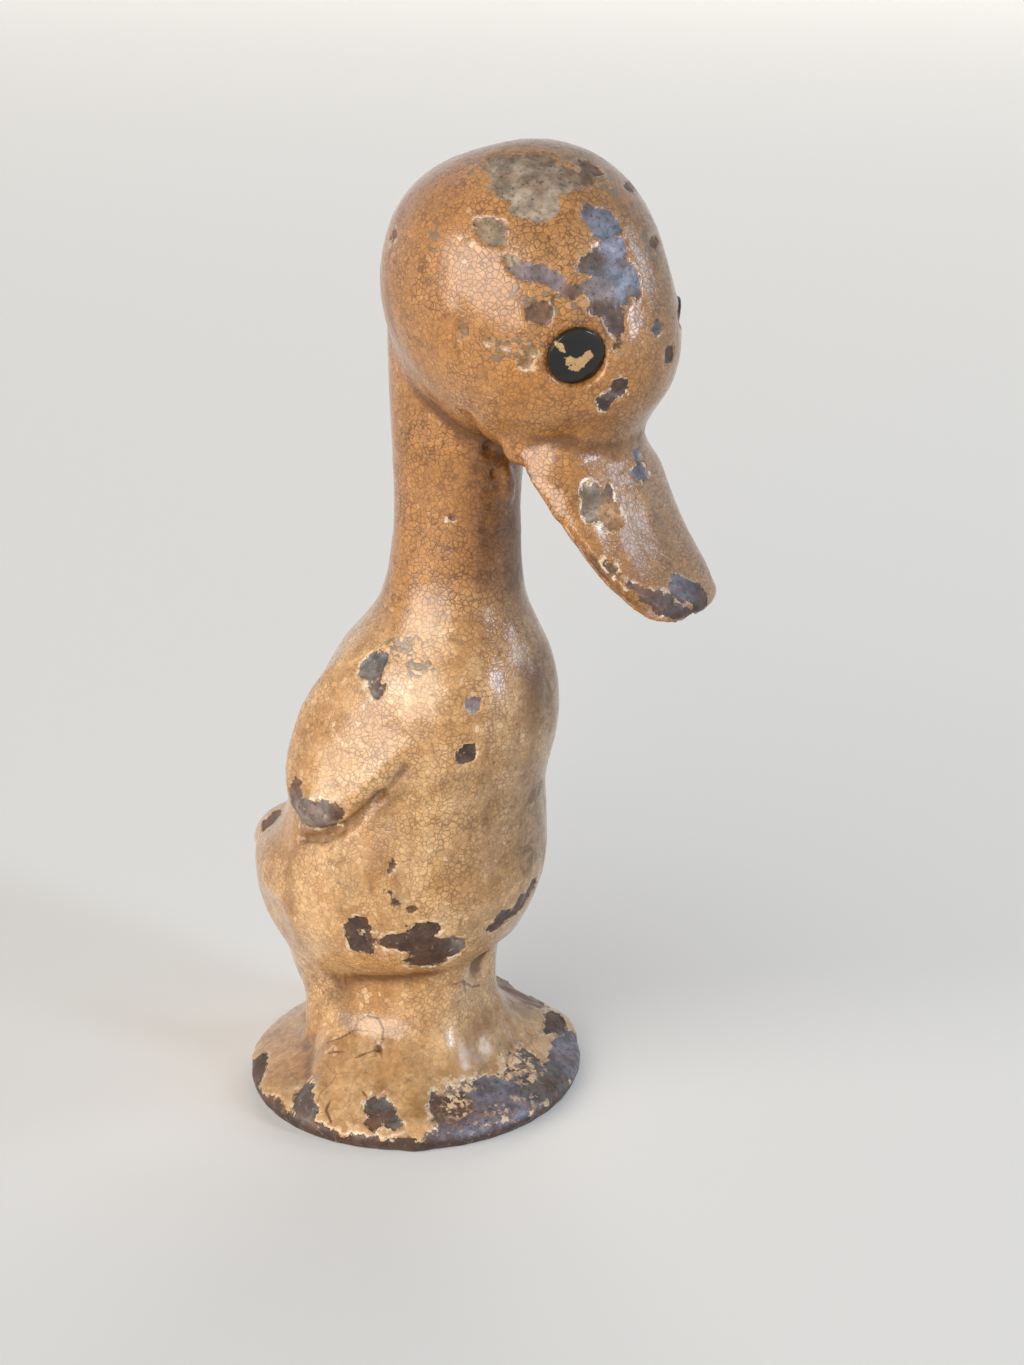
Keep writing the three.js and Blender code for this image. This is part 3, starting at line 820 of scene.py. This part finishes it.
stainsAndShade = {  # pixel, half size, turn, strength; real stains, and painted shade where marked
    "neckFront": ((490, 530), (26, 80), 0, 0.85),
    # the neck, breast and belly far stains and the temple stain: dirt, and painted shade on the duck's shaded
    # far side
    "neckFarShade": ((514, 540), (20, 90), 0, 1.0),
    # dirt, and painted shadow under the cheek's overhang
    "throatShade": ((497, 468), (16, 30), 0, 1.0),
    "breastFarShade": ((545, 680), (30, 80), 0, 0.8),
    "bellyFarShade": ((528, 815), (44, 90), 0, 0.65),
    "crownTop": ((545, 148), (80, 14), 5, 0.35),
    "temple": ((660, 270), (20, 80), -8, 0.4),
    "headBack": ((395, 290), (24, 80), 0, 0.3),
    "web": ((418, 1092), (40, 24), 0, 0.2),
    # painted shade on the pad's far part behind the legs, with some dirt
    "farFootShade": ((520, 998), (40, 18), 20, 0.8),
    "ankleHole": ((379, 1049), (5, 5), 0, 1.0),
    # chin and throat: dirt, and painted shadow under the cheek's overhang
    "chin": ((474, 438), (34, 16), 35, 1.0),
    "throat": ((494, 465), (26, 36), 0, 1.0),
    "napeLow": ((410, 330), (26, 40), 0, 0.25),
    # dirt, and painted shadow in the crease under the wing's edge
    "wingCreaseShade": ((385, 800), (40, 12), -42, 0.55),
    "bellyFront": ((492, 840), (56, 70), 0, 0.4),
    "breastLow": ((455, 785), (30, 16), 0, 0.5),
    # dirt, and painted shadow under the belly's lip
    "underBellyShade": ((330, 975), (50, 16), 5, 0.55),
    # painted shade in the crease between the rump and the leg
    "ankle": ((350, 985), (22, 14), 0, 0.5),
    # painted shade under the cheek, above the bill crease
    "cheekLowShade": ((560, 425), (70, 14), -4, 0.5),
    "leftPad": ((290, 1030), (36, 22), -35, 0.2),
    # painted shade in the hollow beside the heel
    "heelHollowShade": ((334, 994), (18, 14), 20, 0.6),
    # painted shade along the mouth groove
    "mouthLineShade": ((606, 574), (58, 6), 47, 0.8),
}

thinPaint = {  # the undercoat shows through
    "shoulder": ((404, 646), (22, 13), -10, 1.0),
    "shoulderFront": ((418, 667), (17, 11), 0, 1.0),
    "nape": ((436, 228), (10, 26), 12, 0.42),
    "crownBack": ((474, 170), (24, 16), -20, 0.4),
    "crownFar": ((600, 178), (30, 14), 30, 0.55),
    "temple": ((648, 250), (18, 50), -10, 0.42),
    "cheek": ((512, 348), (36, 16), 0, 0.42),
    "brow": ((545, 300), (40, 16), 10, 0.42),
}

newerPaintAndHighlights = {  # paler cream that has lost its dirt; wing, headSide and heel are also painted highlight and light
    "shoulder": ((396, 690), (24, 18), 20, 0.9),
    "shoulderTop": ((436, 634), (14, 10), 0, 0.4),
    # wing and headSide: paler cream, and a painted highlight where the key lamp's sheen falls
    "wing": ((352, 740), (26, 30), 20, 0.3),
    "headSide": ((470, 250), (40, 40), 0, 0.3),
    "leg": ((412, 1004), (40, 18), 0, 0.3),
    "legTop": ((372, 1000), (22, 22), 0, 0.45),
    # heel: painted light on the leg's lit left side
    "heel": ((330, 1040), (12, 34), -8, 0.5),
    "webFront": ((345, 1128), (28, 8), 10, 0.8),
    "frontCrust": ((454, 1084), (26, 11), 0, 1.0),
    "frontCrustFar": ((510, 1064), (30, 14), 0, 1.0),
}

crumbPlaces = {  # bits of paint still stuck to the bare metal
    "frontSide": ((456, 1106), (30, 34), 0, 1.0),
    "frontCrust": ((452, 1084), (32, 14), 0, 1.5),
    "frontTop": ((514, 1066), (36, 20), 0, 1.5),
    "frontLow": ((500, 1112), (60, 18), -12, 0.9),
}


hairCracks = {  # round the leg rivet's end
    "ringTop": ((355, 1030), (358, 1021), (367, 1016), (378, 1018), (383, 1028)),
    "ringSide": ((383, 1028), (383, 1039), (379, 1049)),
    "toHole": ((354, 1058), (366, 1054), (379, 1049)),
    "outward": ((327, 1043), (341, 1038), (355, 1030)),
    "lower": ((329, 1053), (345, 1051)),
    "upper": ((355, 1030), (368, 1031)),
    "down": ((379, 1049), (384, 1062)),
    "webLeft": ((331, 1098), (326, 1110), (331, 1122)),
    "web": ((360, 1088), (367, 1098), (363, 1106)),
    "legTop": ((452, 985), (463, 981), (472, 987), (480, 985)),
    "legTopDown": ((463, 981), (466, 993)),
}

dirtShape = {
    "fine": (36, 0.7),  # rounds and share that find fine hollows
    "broadHollow": (0.02, 0.5, 0.6),  # millimetres from clean to full, and strength
    "fineHollow": (0.01, 0.16, 0.5),
    "padShare": 0.6,  # less on the foot pad
    "padTop": (12, 6),
    "amberLevel": (56, 70),  # the head and the neck have yellowed more
    "amberWave": (4, 9.0, 2),
    "lumps": (7.0, 2),  # grain size and octaves
    "pits": (1.4, 3),
    "stepEdge": (-0.12, 0.14),
    "tipShare": 0.7,  # the bill's thin tip has less of a step
    "soleFade": (0.0, 0.6),  # the sole stays flat
}

grainShift = {"fine": 31.7, "lumps": 5.3, "pits": 9.1}  # so that no two grains match
stainShadeAndPaintLayers = {"stain": stainsAndShade, "thin": thinPaint, "newerAndHighlit": newerPaintAndHighlights, "crumbly": crumbPlaces}


def stainField(points, places):
    out = np.zeros(len(points))
    for pixel, halfSize, turn, strength in places.values():
        far, _ = viewBlob(points, pixel, halfSize, turn)
        out = np.maximum(out, strength * smoothstep(*fades["stain"], far))
    return out


def hollowDirt(hollow, clean, full, strength):
    return smoothstep(clean, full, hollow) * strength


def raggedEdges(points, values):
    coarse, *coarseGrain = values["coarse"]
    fine, *fineGrain = values["fine"]
    return coarse * grain(points, *coarseGrain) + fine * grain(points + grainShift["fine"], *fineGrain)


def surfaceRelief(points, depth, values):
    lumps = skinShape["lumps"] * grain(points + grainShift["lumps"], *values["lumps"])
    pits = skinShape["pits"] * grain(points + grainShift["pits"], *values["pits"])
    tip = billShare(points) * (1 - smoothstep(*billShape["tip"], points[:, 2]))
    step = -skinShape["paintStep"] * smoothstep(*values["stepEdge"], depth) * (1 - values["tipShare"] * tip)
    return (lumps + pits + step) * smoothstep(*values["soleFade"], points[:, 2])


def dressSkin(mesh, values):
    points, normals = pointArray(mesh), normalArray(mesh)
    broadHollow = np.empty(len(points), dtype=np.float32)
    mesh.attributes["broad"].data.foreach_get("value", broadHollow)
    depth, tone, edge = wornField(points, normals, raggedEdges(points, wearShape), broadHollow, wearShape)
    depth = alongCracks(points, depth, wearShape)
    grime = (hollowDirt(broadHollow, *values["broadHollow"])
             + hollowDirt(hollows(mesh, *values["fine"]), *values["fineHollow"]))
    setPoints(mesh, points + normals * surfaceRelief(points, depth, values)[:, None])
    pad = smoothstep(*values["padTop"], points[:, 2])
    putFloat(mesh, "worn", depth)
    putFloat(mesh, "paleEdge", edge)
    putFloat(mesh, "grime", np.clip(grime, 0, 1) * (1 - values["padShare"] * pad))
    for name, places in stainShadeAndPaintLayers.items():
        putFloat(mesh, name, stainField(points, places))
    wave, *waveGrain = values["amberWave"]
    level = points[:, 2] + wave * grain(points, *waveGrain)
    putFloat(mesh, "amber", smoothstep(*values["amberLevel"], level))
    hairlines = [pathDistance(points, path) for path in hairCracks.values()]
    putFloat(mesh, "hairline", np.min(hairlines, axis=0))
    putFloat(mesh, "pad", pad)
    putColour(mesh, "bareTone", tone)


dressSkin(skin, dirtShape)
print("wear done")


# Shader node groups


def newGroup(name, inputs, outputs):
    group = bpy.data.node_groups.new(name, "ShaderNodeTree")
    for label, kind, value in inputs:
        socket = group.interface.new_socket(name=label, in_out="INPUT", socket_type=kind)
        if value is not None:
            socket.default_value = value
    for label, kind in outputs:
        group.interface.new_socket(name=label, in_out="OUTPUT", socket_type=kind)
    return group, group.nodes.new("NodeGroupInput").outputs, group.nodes.new("NodeGroupOutput").inputs


def feed(tree, socket, value):
    if isinstance(value, bpy.types.NodeSocket):
        tree.links.new(value, socket)
    else:
        socket.default_value = value


def addNode(tree, kind, settings=None, **inputs):
    node = tree.nodes.new(kind)
    for key, value in (settings or {}).items():
        setattr(node, key, value)
    for key, value in inputs.items():
        feed(tree, node.inputs[key], value)
    return node


def calc(tree, operation, *values):
    node = tree.nodes.new("ShaderNodeMath")
    node.operation = operation
    for socket, value in zip(node.inputs, values):
        feed(tree, socket, value)
    return node.outputs[0]


def times(tree, first, second):
    return calc(tree, "MULTIPLY", first, second)


def plus(tree, first, second):
    return calc(tree, "ADD", first, second)


def most(tree, first, second):
    return calc(tree, "MAXIMUM", first, second)


def restOf(tree, share):
    return calc(tree, "SUBTRACT", 1.0, share)


def scaled(tree, vector, factor):
    node = addNode(tree, "ShaderNodeVectorMath", {"operation": "SCALE"}, Vector=vector, Scale=factor)
    return node.outputs[0]


def ramp(tree, value, low, high, start=0.0, end=1.0):
    node = tree.nodes.new("ShaderNodeMapRange")
    node.interpolation_type = "SMOOTHSTEP"
    labels = ("Value", "From Min", "From Max", "To Min", "To Max")
    for label, item in zip(labels, (value, low, high, start, end)):
        feed(tree, node.inputs[label], item)
    return node.outputs["Result"]


def mix(tree, share, first, second):
    node = tree.nodes.new("ShaderNodeMix")
    node.data_type = "RGBA"
    for socket, item in ((node.inputs[0], share), (node.inputs[6], first), (node.inputs[7], second)):
        feed(tree, socket, item if isinstance(item, (bpy.types.NodeSocket, float)) else (*item, 1))
    return node.outputs[2]


def attribute(tree, name, kind="Fac"):
    return addNode(tree, "ShaderNodeAttribute", {"attribute_name": name}).outputs[kind]


def clouds(tree, place, scale, detail=3.0, rough=0.55):
    node = addNode(tree, "ShaderNodeTexNoise", Vector=place, Scale=scale, Detail=detail, Roughness=rough)
    return node.outputs["Fac"]


def voronoi(tree, feature, place):
    return addNode(tree, "ShaderNodeTexVoronoi", {"feature": feature}, Vector=place, Scale=1.0).outputs


def crackleGroup():
    value = "NodeSocketFloat"
    group, take, give = newGroup("enamelCrackle", [
        ("Place", "NodeSocketVector", None), ("Cells", value, 1250.0), ("Width", value, 0.08),
    ], [("Crack", value), ("Cell", value), ("Height", value)])
    grid = scaled(group, take["Place"], take["Cells"])
    wobble = addNode(group, "ShaderNodeTexNoise", Vector=grid, Scale=0.7, Detail=2.0).outputs["Color"]
    centred = addNode(group, "ShaderNodeVectorMath", {"operation": "SUBTRACT"}, Vector=wobble)
    centred.inputs[1].default_value = (0.5, 0.5, 0.5)
    warped = group.nodes.new("ShaderNodeVectorMath")
    group.links.new(grid, warped.inputs[0])
    group.links.new(scaled(group, centred.outputs[0], 0.9), warped.inputs[1])
    place = warped.outputs[0]
    fine = voronoi(group, "DISTANCE_TO_EDGE", place)["Distance"]
    cell = voronoi(group, "F1", place)["Color"]
    opened = times(group, take["Width"], ramp(group, clouds(group, grid, 0.3, 2.0), 0.35, 0.65, 0.5, 1.4))
    group.links.new(ramp(group, fine, 0.0, opened, 1.0, 0.0), give["Crack"])
    group.links.new(addNode(group, "ShaderNodeSeparateColor", Color=cell).outputs[0], give["Cell"])
    group.links.new(ramp(group, fine, 0.0, 0.3), give["Height"])
    return group


bareIron = {
    "tone": linear(90, 80, 72),
    "rust": linear(96, 58, 32),
    "pit": linear(40, 30, 24),
    "pitShare": 0.6,
    "shade": (0.58, 1.42),
    "roughness": (0.5, 0.32),
    "rustRoughness": 0.3,
    "metal": 0.2,
}


def ironGroup(values):
    value = "NodeSocketFloat"
    group, take, give = newGroup("bareIron", [
        ("Place", "NodeSocketVector", None), ("Tone", "NodeSocketColor", (*values["tone"], 1)),
        ("Rust", value, 0.4),
    ], [("Colour", "NodeSocketColor"), ("Roughness", value), ("Metal", value), ("Height", value)])
    cloud = clouds(group, take["Place"], 560.0, 5.0, 0.66)
    speck = clouds(group, take["Place"], 1900.0, 3.0, 0.6)
    shaded = scaled(group, take["Tone"], ramp(group, cloud, 0.34, 0.68, *values["shade"]))
    rustMask = times(group, ramp(group, clouds(group, take["Place"], 300.0, 4.0), 0.48, 0.64), take["Rust"])
    rusty = mix(group, rustMask, shaded, values["rust"])
    pitMask = times(group, ramp(group, speck, 0.55, 0.68), values["pitShare"])
    group.links.new(mix(group, pitMask, rusty, values["pit"]), give["Colour"])
    smoother = ramp(group, cloud, 0.3, 0.7, *values["roughness"])
    group.links.new(plus(group, smoother, times(group, rustMask, values["rustRoughness"])), give["Roughness"])
    group.links.new(times(group, restOf(group, rustMask), values["metal"]), give["Metal"])
    group.links.new(plus(group, cloud, times(group, speck, 0.5)), give["Height"])
    return group


crackle, iron = crackleGroup(), ironGroup(bareIron)


def useGroup(tree, group, **inputs):
    node = tree.nodes.new("ShaderNodeGroup")
    node.node_tree = group
    for key, value in inputs.items():
        feed(tree, node.inputs[key], value)
    return node.outputs


def newMaterial(name):
    material = bpy.data.materials.new(name)
    material.use_nodes = True
    tree = material.node_tree
    place = addNode(tree, "ShaderNodeTexCoord").outputs["Object"]
    return material, tree, tree.nodes["Principled BSDF"], place


def bumpInto(tree, shader, height, strength, distance):
    bump = addNode(tree, "ShaderNodeBump", Height=height, Strength=strength, Distance=distance * mm)
    feed(tree, shader.inputs["Normal"], bump.outputs["Normal"])


def tornDepth(tree, place, scale, roughness, reach):
    torn = calc(tree, "SUBTRACT", clouds(tree, place, scale, 3.0, roughness), 0.5)
    return plus(tree, attribute(tree, "worn"), times(tree, torn, reach))


def showPiece(name, mesh, node):
    piece = bpy.data.objects.new(name, mesh)
    scene.collection.objects.link(piece)
    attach(piece, "root")
    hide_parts(node)
    return piece


# Worn cream enamel on the castings

enamel = {
    "tan": linear(190, 139, 80),
    "cream": linear(222, 178, 126),
    "amber": linear(176, 116, 50),  # on the head and neck
    # brown of dirt, also laid on as painted shade where the stains darken shaded places
    "dirtAndShade": linear(98, 62, 34),
    "crack": linear(100, 62, 32),
    # pale cream of newer paint, also used for painted highlights and light
    "freshAndLitCream": linear(238, 202, 160),
    "brokenEdge": linear(240, 218, 184),
    "crumb": linear(150, 122, 104),
    "thin": linear(130, 112, 86),
    "cells": 1650.0,
    "crackWidth": 0.13,
    "footCells": 190.0,
    "footWidth": 0.02,
    "amberShare": 0.8,
    "cellTint": (0.88, 1.1),
    "mottle": 0.34,
    "speck": 0.38,
    "dirtMost": 0.88,
    "rust": 0.45,
    "roughness": 0.2,
    "dirtRoughness": 0.1,
    "specular": 0.5,
    "coat": 0.5,
    "dirtyCoat": 0.1,
    "coatRoughness": 0.2,
    "pillow": 0.013,  # heights in millimetres
    "groove": -0.01,
    "step": -0.1,
    "metalGrain": 0.08,
    "crumbHeight": 0.06,
    "lumps": 0.025,
    "bump": 0.8,
}


grains = {  # cells in a metre, detail, roughness
    "patch": (150.0, 5.0, 0.68),
    "mottle": (430.0, 4.0, 0.62),
    "speck": (1500.0, 3.0, 0.6),
    "runs": (260.0, 3.0, 0.6),
    "crackFade": (90.0, 3.0),
    "brokenEdge": (900.0, 3.0),
    "crumbTone": (700.0, 2.0),
    "lumps": (600.0, 2.0),
    "eyeDull": (500.0, 3.0),
    "eyeRipple": (700.0, 2.0),
}


def paintColour(tree, place, values, body, padLess):
    amber, newerAndHighlit = attribute(tree, "amber"), attribute(tree, "newerAndHighlit")
    patch = ramp(tree, clouds(tree, place, *grains["patch"]), 0.36, 0.64)
    paint = mix(tree, patch, values["tan"], values["cream"])
    paint = mix(tree, times(tree, amber, values["amberShare"]), paint, values["amber"])
    paint = scaled(tree, paint, ramp(tree, body["Cell"], 0.0, 1.0, *values["cellTint"]))
    younger = times(tree, padLess, restOf(tree, times(tree, amber, 0.7)))
    newFlake = times(tree, ramp(tree, body["Cell"], 0.97, 1.0, 0.0, 0.6), younger)  # odd flakes look new
    # paler patches: newer paint, and painted highlights and light
    newAndHighlitPatch = ramp(tree, plus(tree, newerAndHighlit, body["Cell"]), 1.1, 1.3, 0.0, 0.7)
    paint = mix(tree, most(tree, newFlake, newAndHighlitPatch), paint, values["freshAndLitCream"])
    thinFlake = calc(tree, "SUBTRACT", attribute(tree, "thin"), body["Cell"])
    return mix(tree, ramp(tree, thinFlake, 0.0, 0.1, 0.0, 0.85), paint, values["thin"])


def dirtMask(tree, place, values):
    mottle = ramp(tree, clouds(tree, place, *grains["mottle"]), 0.46, 0.74)
    speck = ramp(tree, clouds(tree, place, *grains["speck"]), 0.55, 0.74)
    drawn = addNode(tree, "ShaderNodeMapping", Vector=place, Scale=(1.0, 1.0, 0.3)).outputs[0]
    runs = ramp(tree, clouds(tree, drawn, *grains["runs"]), 0.48, 0.72)
    # the stain layer holds real stains and painted shade
    stainAndShade = times(tree, attribute(tree, "stain"), ramp(tree, mottle, 0.0, 1.0, 0.6, 1.0))
    dirtAndShade = most(tree, stainAndShade, attribute(tree, "grime"))
    dirtAndShade = plus(tree, dirtAndShade, times(tree, most(tree, mottle, runs), values["mottle"]))
    dirtAndShade = plus(tree, dirtAndShade, times(tree, speck, values["speck"]))
    return times(tree, dirtAndShade, restOf(tree, times(tree, attribute(tree, "newerAndHighlit"), 0.8)))


def shownCracks(tree, place, crack):
    uneven = ramp(tree, clouds(tree, place, *grains["crackFade"]), 0.35, 0.65, 0.5, 0.95)
    yellowed = ramp(tree, attribute(tree, "amber"), 0.0, 1.0, 0.7, 1.0)  # finest on the belly
    shown = times(tree, times(tree, crack, uneven), yellowed)
    return most(tree, shown, ramp(tree, attribute(tree, "hairline"), 0.1, 0.24, 0.9, 0.0))


def crumbMask(tree, place):
    crumbly = attribute(tree, "crumbly")
    sparse = calc(tree, "MULTIPLY_ADD", crumbly, -0.13, 0.61)
    leftOver = ramp(tree, clouds(tree, place, *grains["speck"]), sparse, plus(tree, sparse, 0.05))
    return times(tree, leftOver, most(tree, times(tree, attribute(tree, "paleEdge"), 0.5), crumbly))


def enamelMaterial(values):
    material, tree, shader, place = newMaterial("wornCreamEnamel")
    depth = tornDepth(tree, place, 2600.0, 0.65, 0.75)
    bare = ramp(tree, depth, -0.05, 0.06)
    painted = restOf(tree, bare)
    pad = attribute(tree, "pad")
    padLess = restOf(tree, times(tree, pad, 0.75))
    body = useGroup(tree, crackle, Place=place, Cells=values["cells"], Width=values["crackWidth"])
    foot = useGroup(tree, crackle, Place=place, Cells=values["footCells"], Width=values["footWidth"])
    crack = most(tree, times(tree, body["Crack"], padLess), times(tree, foot["Crack"], times(tree, pad, 0.8)))

    paint = paintColour(tree, place, values, body, padLess)
    dirtAndShade = dirtMask(tree, place, values)
    paint = mix(tree, calc(tree, "MINIMUM", dirtAndShade, values["dirtMost"]), paint, values["dirtAndShade"])
    crackShow = shownCracks(tree, place, crack)
    paint = mix(tree, crackShow, paint, values["crack"])
    edgeBreak = ramp(tree, clouds(tree, place, *grains["brokenEdge"]), 0.46, 0.58)
    rim = times(tree, ramp(tree, depth, -0.42, -0.1), attribute(tree, "paleEdge"))
    paint = mix(tree, times(tree, rim, edgeBreak), paint, values["brokenEdge"])

    metal = useGroup(tree, iron, Place=place, Tone=attribute(tree, "bareTone", "Color"), Rust=values["rust"])
    crumbs = crumbMask(tree, place)  # bits of paint on the bare metal
    cleaner = ramp(tree, clouds(tree, place, *grains["crumbTone"]), 0.46, 0.6)
    crumbTone = mix(tree, cleaner, values["crumb"], values["freshAndLitCream"])
    metalColour = mix(tree, crumbs, metal["Colour"], crumbTone)
    feed(tree, shader.inputs["Base Color"], mix(tree, bare, paint, metalColour))
    gloss = plus(tree, values["roughness"], times(tree, plus(tree, dirtAndShade, crackShow), values["dirtRoughness"]))
    rougher = calc(tree, "SUBTRACT", metal["Roughness"], gloss)
    feed(tree, shader.inputs["Roughness"], calc(tree, "MULTIPLY_ADD", bare, rougher, gloss))
    feed(tree, shader.inputs["Metallic"], times(tree, bare, metal["Metal"]))
    shader.inputs["Specular IOR Level"].default_value = values["specular"]
    coat = ramp(tree, dirtAndShade, 0.1, 0.8, values["coat"], values["dirtyCoat"])
    feed(tree, shader.inputs["Coat Weight"], times(tree, painted, coat))
    shader.inputs["Coat Roughness"].default_value = values["coatRoughness"]

    pillow = times(tree, times(tree, body["Height"], padLess), values["pillow"])
    flakes = times(tree, plus(tree, pillow, times(tree, crack, values["groove"])), painted)
    raised = times(tree, crumbs, values["crumbHeight"])
    rough = calc(tree, "MULTIPLY_ADD", metal["Height"], values["metalGrain"], raised)
    bareHeight = times(tree, bare, plus(tree, rough, values["step"]))
    lumps = times(tree, clouds(tree, place, *grains["lumps"]), values["lumps"])
    bumpInto(tree, shader, plus(tree, flakes, plus(tree, bareHeight, lumps)), values["bump"], 1.0)
    return material


enamelLook = enamelMaterial(enamel)
print("enamel ready")


# The two painted halves, parted where the castings meet


def cutHalf(mesh, name, side):
    work = bmesh.new()
    work.from_mesh(mesh)
    everything = work.verts[:] + work.edges[:] + work.faces[:]
    bmesh.ops.bisect_plane(work, geom=everything, dist=1e-7, plane_co=(0, 0, 0), plane_no=(side, 0, 0),
                           clear_inner=True)
    rim = [e for e in work.edges if len(e.link_faces) == 1]
    for e in rim:
        e.smooth = False
    bmesh.ops.edgenet_fill(work, edges=rim)
    for f in work.faces:
        f.smooth = True
    half = bpy.data.meshes.new(name)
    work.to_mesh(half)
    work.free()
    half.materials.append(enamelLook)
    return half


for name, side, node, slotName in (("paintedRightHalf", -1, "right_half_casting", "right_casting"),
                                   ("paintedLeftHalf", 1, "left_half_casting", "left_casting")):
    showPiece(name, cutHalf(skin, name, side), node)
print("halves ready")


# Eyes: glossy black enamel with paint flaked off the middle

eyeLook = {
    "voxel": 0.11,
    "rounds": 30,
    "tight": 0.9,
    "axis": (0.611, -0.779, -0.237),  # outward, on the left eye
    "dome": 1.6,  # millimetres of the stud that show
    "sink": 0.68,
    "black": linear(20, 18, 17),
    "dull": linear(70, 58, 46),
    "under": linear(198, 158, 106),
    "crack": linear(120, 80, 44),
    "cells": 900.0,
    "crackWidth": 0.04,
    "ragged": (0.9, 3),  # grain size and octaves
    "raggedHeight": 0.8,
    "chipRoughness": 0.34,
    "chipDepth": -0.08,  # heights in millimetres
    "ripple": 0.03,
    "bump": 0.8,
}

eyeChips = {  # pixel, half size, turn
    "low": ((571, 361), (9, 4.5), 10),
    "front": ((581, 361), (8, 5), -20),
    "frontTop": ((589, 355), (4.5, 4), 0),
    "bottom": ((574, 368), (6, 3.5), 0),
    "back": ((560, 347), (7, 3), 45),
}


def eyeMaterial(values):
    material, tree, shader, place = newMaterial("blackEyeEnamel")
    gone = ramp(tree, tornDepth(tree, place, 3200.0, 0.6, 0.4), -0.03, 0.04)
    fine = useGroup(tree, crackle, Place=place, Cells=values["cells"], Width=values["crackWidth"])
    under = mix(tree, times(tree, fine["Crack"], 0.6), values["under"], values["crack"])
    dull = clouds(tree, place, *grains["eyeDull"])
    black = mix(tree, ramp(tree, dull, 0.5, 0.8, 0.0, 0.12), values["black"], values["dull"])
    feed(tree, shader.inputs["Base Color"], mix(tree, gone, black, under))
    gloss = ramp(tree, dull, 0.35, 0.75, 0.12, 0.26)
    feed(tree, shader.inputs["Roughness"], calc(tree, "MULTIPLY_ADD", gone, values["chipRoughness"], gloss))
    ripple = times(tree, clouds(tree, place, *grains["eyeRipple"]), values["ripple"])
    height = calc(tree, "MULTIPLY_ADD", gone, values["chipDepth"], ripple)
    bumpInto(tree, shader, height, values["bump"], 1.0)
    return material


eyeFinish = eyeMaterial(eyeLook)


def makeEye(node, name, mirrored):
    points, faces = nodeArrays(node)
    mesh = smoothSkin(name, points, faces, eyeLook["voxel"], eyeLook["rounds"], eyeLook["tight"])
    points = pointArray(mesh)
    out = np.array([1 if mirrored else -1, 1, 1]) * eyeLook["axis"]
    out /= np.linalg.norm(out)
    high = points @ out - (points @ out).max() + eyeLook["dome"]
    points -= (np.maximum(high, 0) * eyeLook["sink"])[:, None] * out
    setPoints(mesh, points)
    seen = points * np.array([-1, 1, 1]) if mirrored else points
    dome = BVHTree.FromPolygons((seen * mm).tolist(), faceLists(mesh))
    ragged = eyeLook["raggedHeight"] * grain(points, *eyeLook["ragged"])
    depth = np.full(len(points), -2.0)
    for pixel, halfSize, turn in eyeChips.values():
        far, radius = viewBlob(seen, pixel, halfSize, turn, dome)
        depth = np.maximum(depth, blobDepth(far, radius, ragged))
    putFloat(mesh, "worn", depth)
    for polygon in mesh.polygons:
        polygon.use_smooth = True
    mesh.materials.append(eyeFinish)
    showPiece(name, mesh, node)


makeEye("right_eye", "rightEyeStud", False)
makeEye("left_eye", "leftEyeStud", True)
print("eyes ready")


# Rivets, whose ends lie under the paint

rivetLook = {
    "tone": linear(96, 86, 78),
    "rust": 0.6,
    "under": 0.7,  # millimetres that the paint covers
    "filed": 0.12,
    "bump": 0.6,
    "grain": 0.05,
}


def rivetMaterial(values):
    material, tree, shader, place = newMaterial("rivetIron")
    metal = useGroup(tree, iron, Place=place, Tone=(*values["tone"], 1), Rust=values["rust"])
    for socket, source in (("Base Color", "Colour"), ("Roughness", "Roughness"), ("Metallic", "Metal")):
        feed(tree, shader.inputs[socket], metal[source])
    bumpInto(tree, shader, metal["Height"], values["bump"], values["grain"])
    return material


rivetFinish = rivetMaterial(rivetLook)
for node, name, slotName in (("leg_rivet", "legRivetIron", "leg_rivet_iron"),
                             ("body_rivet", "bodyRivetIron", "body_rivet_iron")):
    points, faces = nodeArrays(node)
    reach = np.abs(points[:, 0]).max()
    points[:, 0] *= (reach - rivetLook["under"]) / reach
    mesh = meshFrom(name, points, faces)
    mesh.materials.append(rivetFinish)
    bevel = showPiece(name, mesh, node).modifiers.new("filedEdge", "BEVEL")
    bevel.width = rivetLook["filed"] * mm
    bevel.segments = 2
print("rivets ready")
